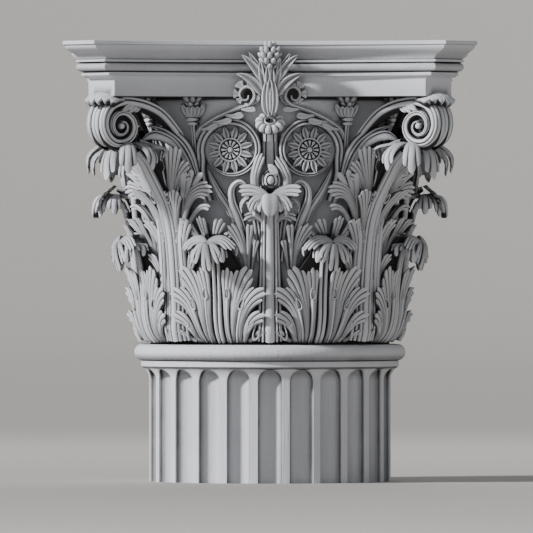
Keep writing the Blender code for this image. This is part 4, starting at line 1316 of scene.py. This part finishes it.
def light(name, place, aim, power, size, colour=(1, 1, 1)):
    """An area light of a size in metres, or a soft sun where size is None."""
    lamp = bpy.data.objects.new(name, bpy.data.lights.new(name, "AREA" if size else "SUN"))
    lamp.data.energy, lamp.data.color = power, colour
    if size:
        lamp.data.size = size
    else:
        lamp.data.angle = math.radians(SUN_ANGLE)
    lamp.location = place
    lamp.rotation_euler = (Vector(aim) - Vector(place)).to_track_quat("-Z", "Y").to_euler()
    bpy.context.scene.collection.objects.link(lamp)


class COLUMN_OT_stage(bpy.types.Operator):
    """Lay the floor and backdrop, and set the lights and the camera"""
    bl_idname = "column.stage"
    bl_label = "Stage"

    def execute(self, context):
        sizes = context.scene.column
        bpy.ops.object.select_all(action="DESELECT")
        bpy.ops.mesh.primitive_circle_add(vertices=96, radius=BOWL_RADIUS, fill_type="NGON",
                                          location=(0, 0, 0))
        floor = context.object
        floor.name = "backdrop"
        bpy.ops.object.mode_set(mode="EDIT")
        bpy.ops.mesh.select_mode(type="EDGE")
        bpy.ops.mesh.select_all(action="SELECT")
        bpy.ops.mesh.extrude_edges_move(TRANSFORM_OT_translate={"value": (0, 0, BOWL_WALL)})
        bpy.ops.object.mode_set(mode="OBJECT")
        bend = floor.modifiers.new("bend", "BEVEL")
        bend.width, bend.segments, bend.limit_method = BOWL_BEND * BOWL_WALL, 24, "ANGLE"
        bpy.ops.object.modifier_apply(modifier="bend")
        bpy.ops.object.shade_smooth()
        paper = bpy.data.materials.new("grey_backdrop")
        paper.use_nodes = True
        tree = paper.node_tree
        shader = tree.nodes["Principled BSDF"]
        shader.inputs["Specular IOR Level"].default_value = 0.1
        place = node(tree, "ShaderNodeTexCoord", (-900, 0))
        fibre = node(tree, "ShaderNodeTexNoise", (-700, 0), in_Scale=40.0, in_Detail=8.0, in_Roughness=0.75)
        tree.links.new(place.outputs["Object"], fibre.inputs["Vector"])
        shade = mapped(tree, (-500, 0), fibre.outputs[0], (0.3, 0.75, 0.0, 0.35))
        base = tuple(sizes.backdrop_colour)
        tint = mixed(tree, (-300, 0), shade, (*base, 1), (*(c * 0.72 for c in base), 1))
        tree.links.new(tint, shader.inputs["Base Color"])
        rough = mapped(tree, (-300, -200), fibre.outputs[0], (0.3, 0.75, 0.85, 1.0))
        tree.links.new(rough, shader.inputs["Roughness"])
        floor.data.materials.append(paper)

        world = bpy.data.worlds.new("studio")
        context.scene.world = world
        world.use_nodes = True
        world.node_tree.nodes["Background"].inputs[0].default_value = SKY_COLOUR
        world.node_tree.nodes["Background"].inputs[1].default_value = SKY_STRENGTH
        light("key", (-6.2, -2.5, 4.2), (0, 0, 0.6), sizes.key_strength, None)
        light("fill", (-0.5, -6.0, 1.2), (0, 0, 0.5), 64.0, 3.0, (0.95, 0.97, 1.0))
        light("back", (0.0, 4.5, 4.5), (0, 0, 0.6), 120.0, 3.0)

        camera = bpy.data.objects.new("camera", bpy.data.cameras.new("camera"))
        context.scene.collection.objects.link(camera)
        context.scene.camera = camera
        camera.location = (VIEW_CENTRE[0], -sizes.camera_distance, VIEW_CENTRE[1])
        camera.rotation_euler = (math.radians(90), 0, 0)
        camera.data.sensor_width = SENSOR
        camera.data.lens = SENSOR * (sizes.camera_distance - VIEW_DEPTH) / VIEW_WIDTH
        return {"FINISHED"}


def folded(points):
    """Points brought into one eighth of the plan, as the column repeats and mirrors itself."""
    azimuth = np.arctan2(points[:, 0], -points[:, 1]) % (math.pi / 2)
    azimuth = np.minimum(azimuth, math.pi / 2 - azimuth)
    out = np.hypot(points[:, 0], points[:, 1])
    return np.stack([out * np.sin(azimuth), -out * np.cos(azimuth), points[:, 2]], axis=-1)


def shelter(pieces, rays, reach):
    """Stores on each point how closed in it is by the carving round it: 0 in the open, 1 deep down. The stone
    darkens these points as painted shade.
    """
    points, normals, faces, count = [], [], [], 0
    for piece in pieces:
        mesh = piece.data
        co, no = np.empty(len(mesh.vertices) * 3), np.empty(len(mesh.vertices) * 3)
        mesh.vertices.foreach_get("co", co)
        mesh.vertex_normals.foreach_get("vector", no)
        points.append(co.reshape(-1, 3))
        normals.append(no.reshape(-1, 3))
        corners = np.empty(len(mesh.loops), dtype=np.int32)
        mesh.loops.foreach_get("vertex_index", corners)
        corners = (corners + count).tolist()
        faces += [corners[f.loop_start : f.loop_start + f.loop_total] for f in mesh.polygons]
        count += len(co) // 3
    every = np.concatenate(points)
    normal = np.concatenate(normals)
    tree = BVHTree.FromPolygons(every.tolist(), faces)
    azimuth = np.arctan2(every[:, 0], -every[:, 1])
    chosen = np.nonzero((azimuth > -SHADE_SEAM) & (azimuth < math.pi / 4 + SHADE_SEAM))[0]
    place, up = every[chosen], normal[chosen]
    side = np.cross(up, np.where(np.abs(up[:, 2:]) < 0.9, (0.0, 0.0, 1.0), (1.0, 0.0, 0.0)))
    side /= np.linalg.norm(side, axis=1)[:, None] + 1e-12
    other = np.cross(up, side)
    closed = np.zeros(len(chosen))
    start = (place + up * SHADE_LIFT).tolist()
    for k in range(rays):
        turn, lean = GOLDEN_ANGLE * k, math.sqrt((k + 0.5) / rays)
        ray = (side * math.cos(turn) + other * math.sin(turn)) * lean + up * math.sqrt(1 - lean**2)
        for index, (origin, heading) in enumerate(zip(start, ray.tolist())):
            hit = tree.ray_cast(origin, heading, reach)[3]
            if hit is not None:
                closed[index] += 1 - hit / reach
    closed /= rays
    known = KDTree(len(chosen))
    for index, spot in enumerate(place.tolist()):
        known.insert(spot, index)
    known.balance()
    for piece, own in zip(pieces, points):
        nearest = [known.find(spot)[1] for spot in folded(own).tolist()]
        stored = piece.data.attributes.new("shelter", "FLOAT", "POINT")
        stored.data.foreach_set("value", closed[nearest].astype(np.float32))


class COLUMN_OT_painted_shade(bpy.types.Operator):
    """Find where the carving is closed in, for the painted shade"""
    bl_idname = "column.grime"
    bl_label = "Painted shade"

    def execute(self, context):
        pieces = [o for o in context.scene.objects if o.type == "MESH" and "cut" in o.data.attributes]
        shelter(pieces, SHADE_RAYS, context.scene.column.shade_reach)
        return {"FINISHED"}


OPERATORS = (COLUMN_OT_shaft, COLUMN_OT_bell, COLUMN_OT_abacus, COLUMN_OT_lower_leaves,
             COLUMN_OT_middle_leaves, COLUMN_OT_corner_leaves, COLUMN_OT_volutes, COLUMN_OT_rosettes,
             COLUMN_OT_stems, COLUMN_OT_calyx, COLUMN_OT_flowers, COLUMN_OT_painted_shade, COLUMN_OT_stage)


class COLUMN_PT_panel(bpy.types.Panel):
    """The sizes, the colours and a button for each piece"""
    bl_idname = "COLUMN_PT_panel"
    bl_label = "Corinthian capital"
    bl_space_type = "VIEW_3D"
    bl_region_type = "UI"
    bl_category = "Column"

    def draw(self, context):
        for name in ColumnSizes.__annotations__:
            self.layout.prop(context.scene.column, name)
        for operator in OPERATORS:
            self.layout.operator(operator.bl_idname)


def register():
    """Adds the sizes, operators and panel to Blender."""
    for item in (ColumnSizes, *OPERATORS, COLUMN_PT_panel):
        bpy.utils.register_class(item)
    bpy.types.Scene.column = PointerProperty(type=ColumnSizes)


def unregister():
    """Takes them out again."""
    del bpy.types.Scene.column
    for item in (COLUMN_PT_panel, *reversed(OPERATORS), ColumnSizes):
        bpy.utils.unregister_class(item)


def main():
    """Makes the stones and every piece."""
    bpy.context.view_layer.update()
    register()
    sizes = bpy.context.scene.column
    group = carved_stone_group()
    STONES["capital_stone"] = stone("carved_stone", group, 0.35, sizes)
    STONES["shaft_stone"] = stone("fluted_stone", group, 0.9, sizes)
    for operator in OPERATORS:
        getattr(bpy.ops.column, operator.bl_idname.split(".")[1])()


if __name__ == "__main__":
    main()
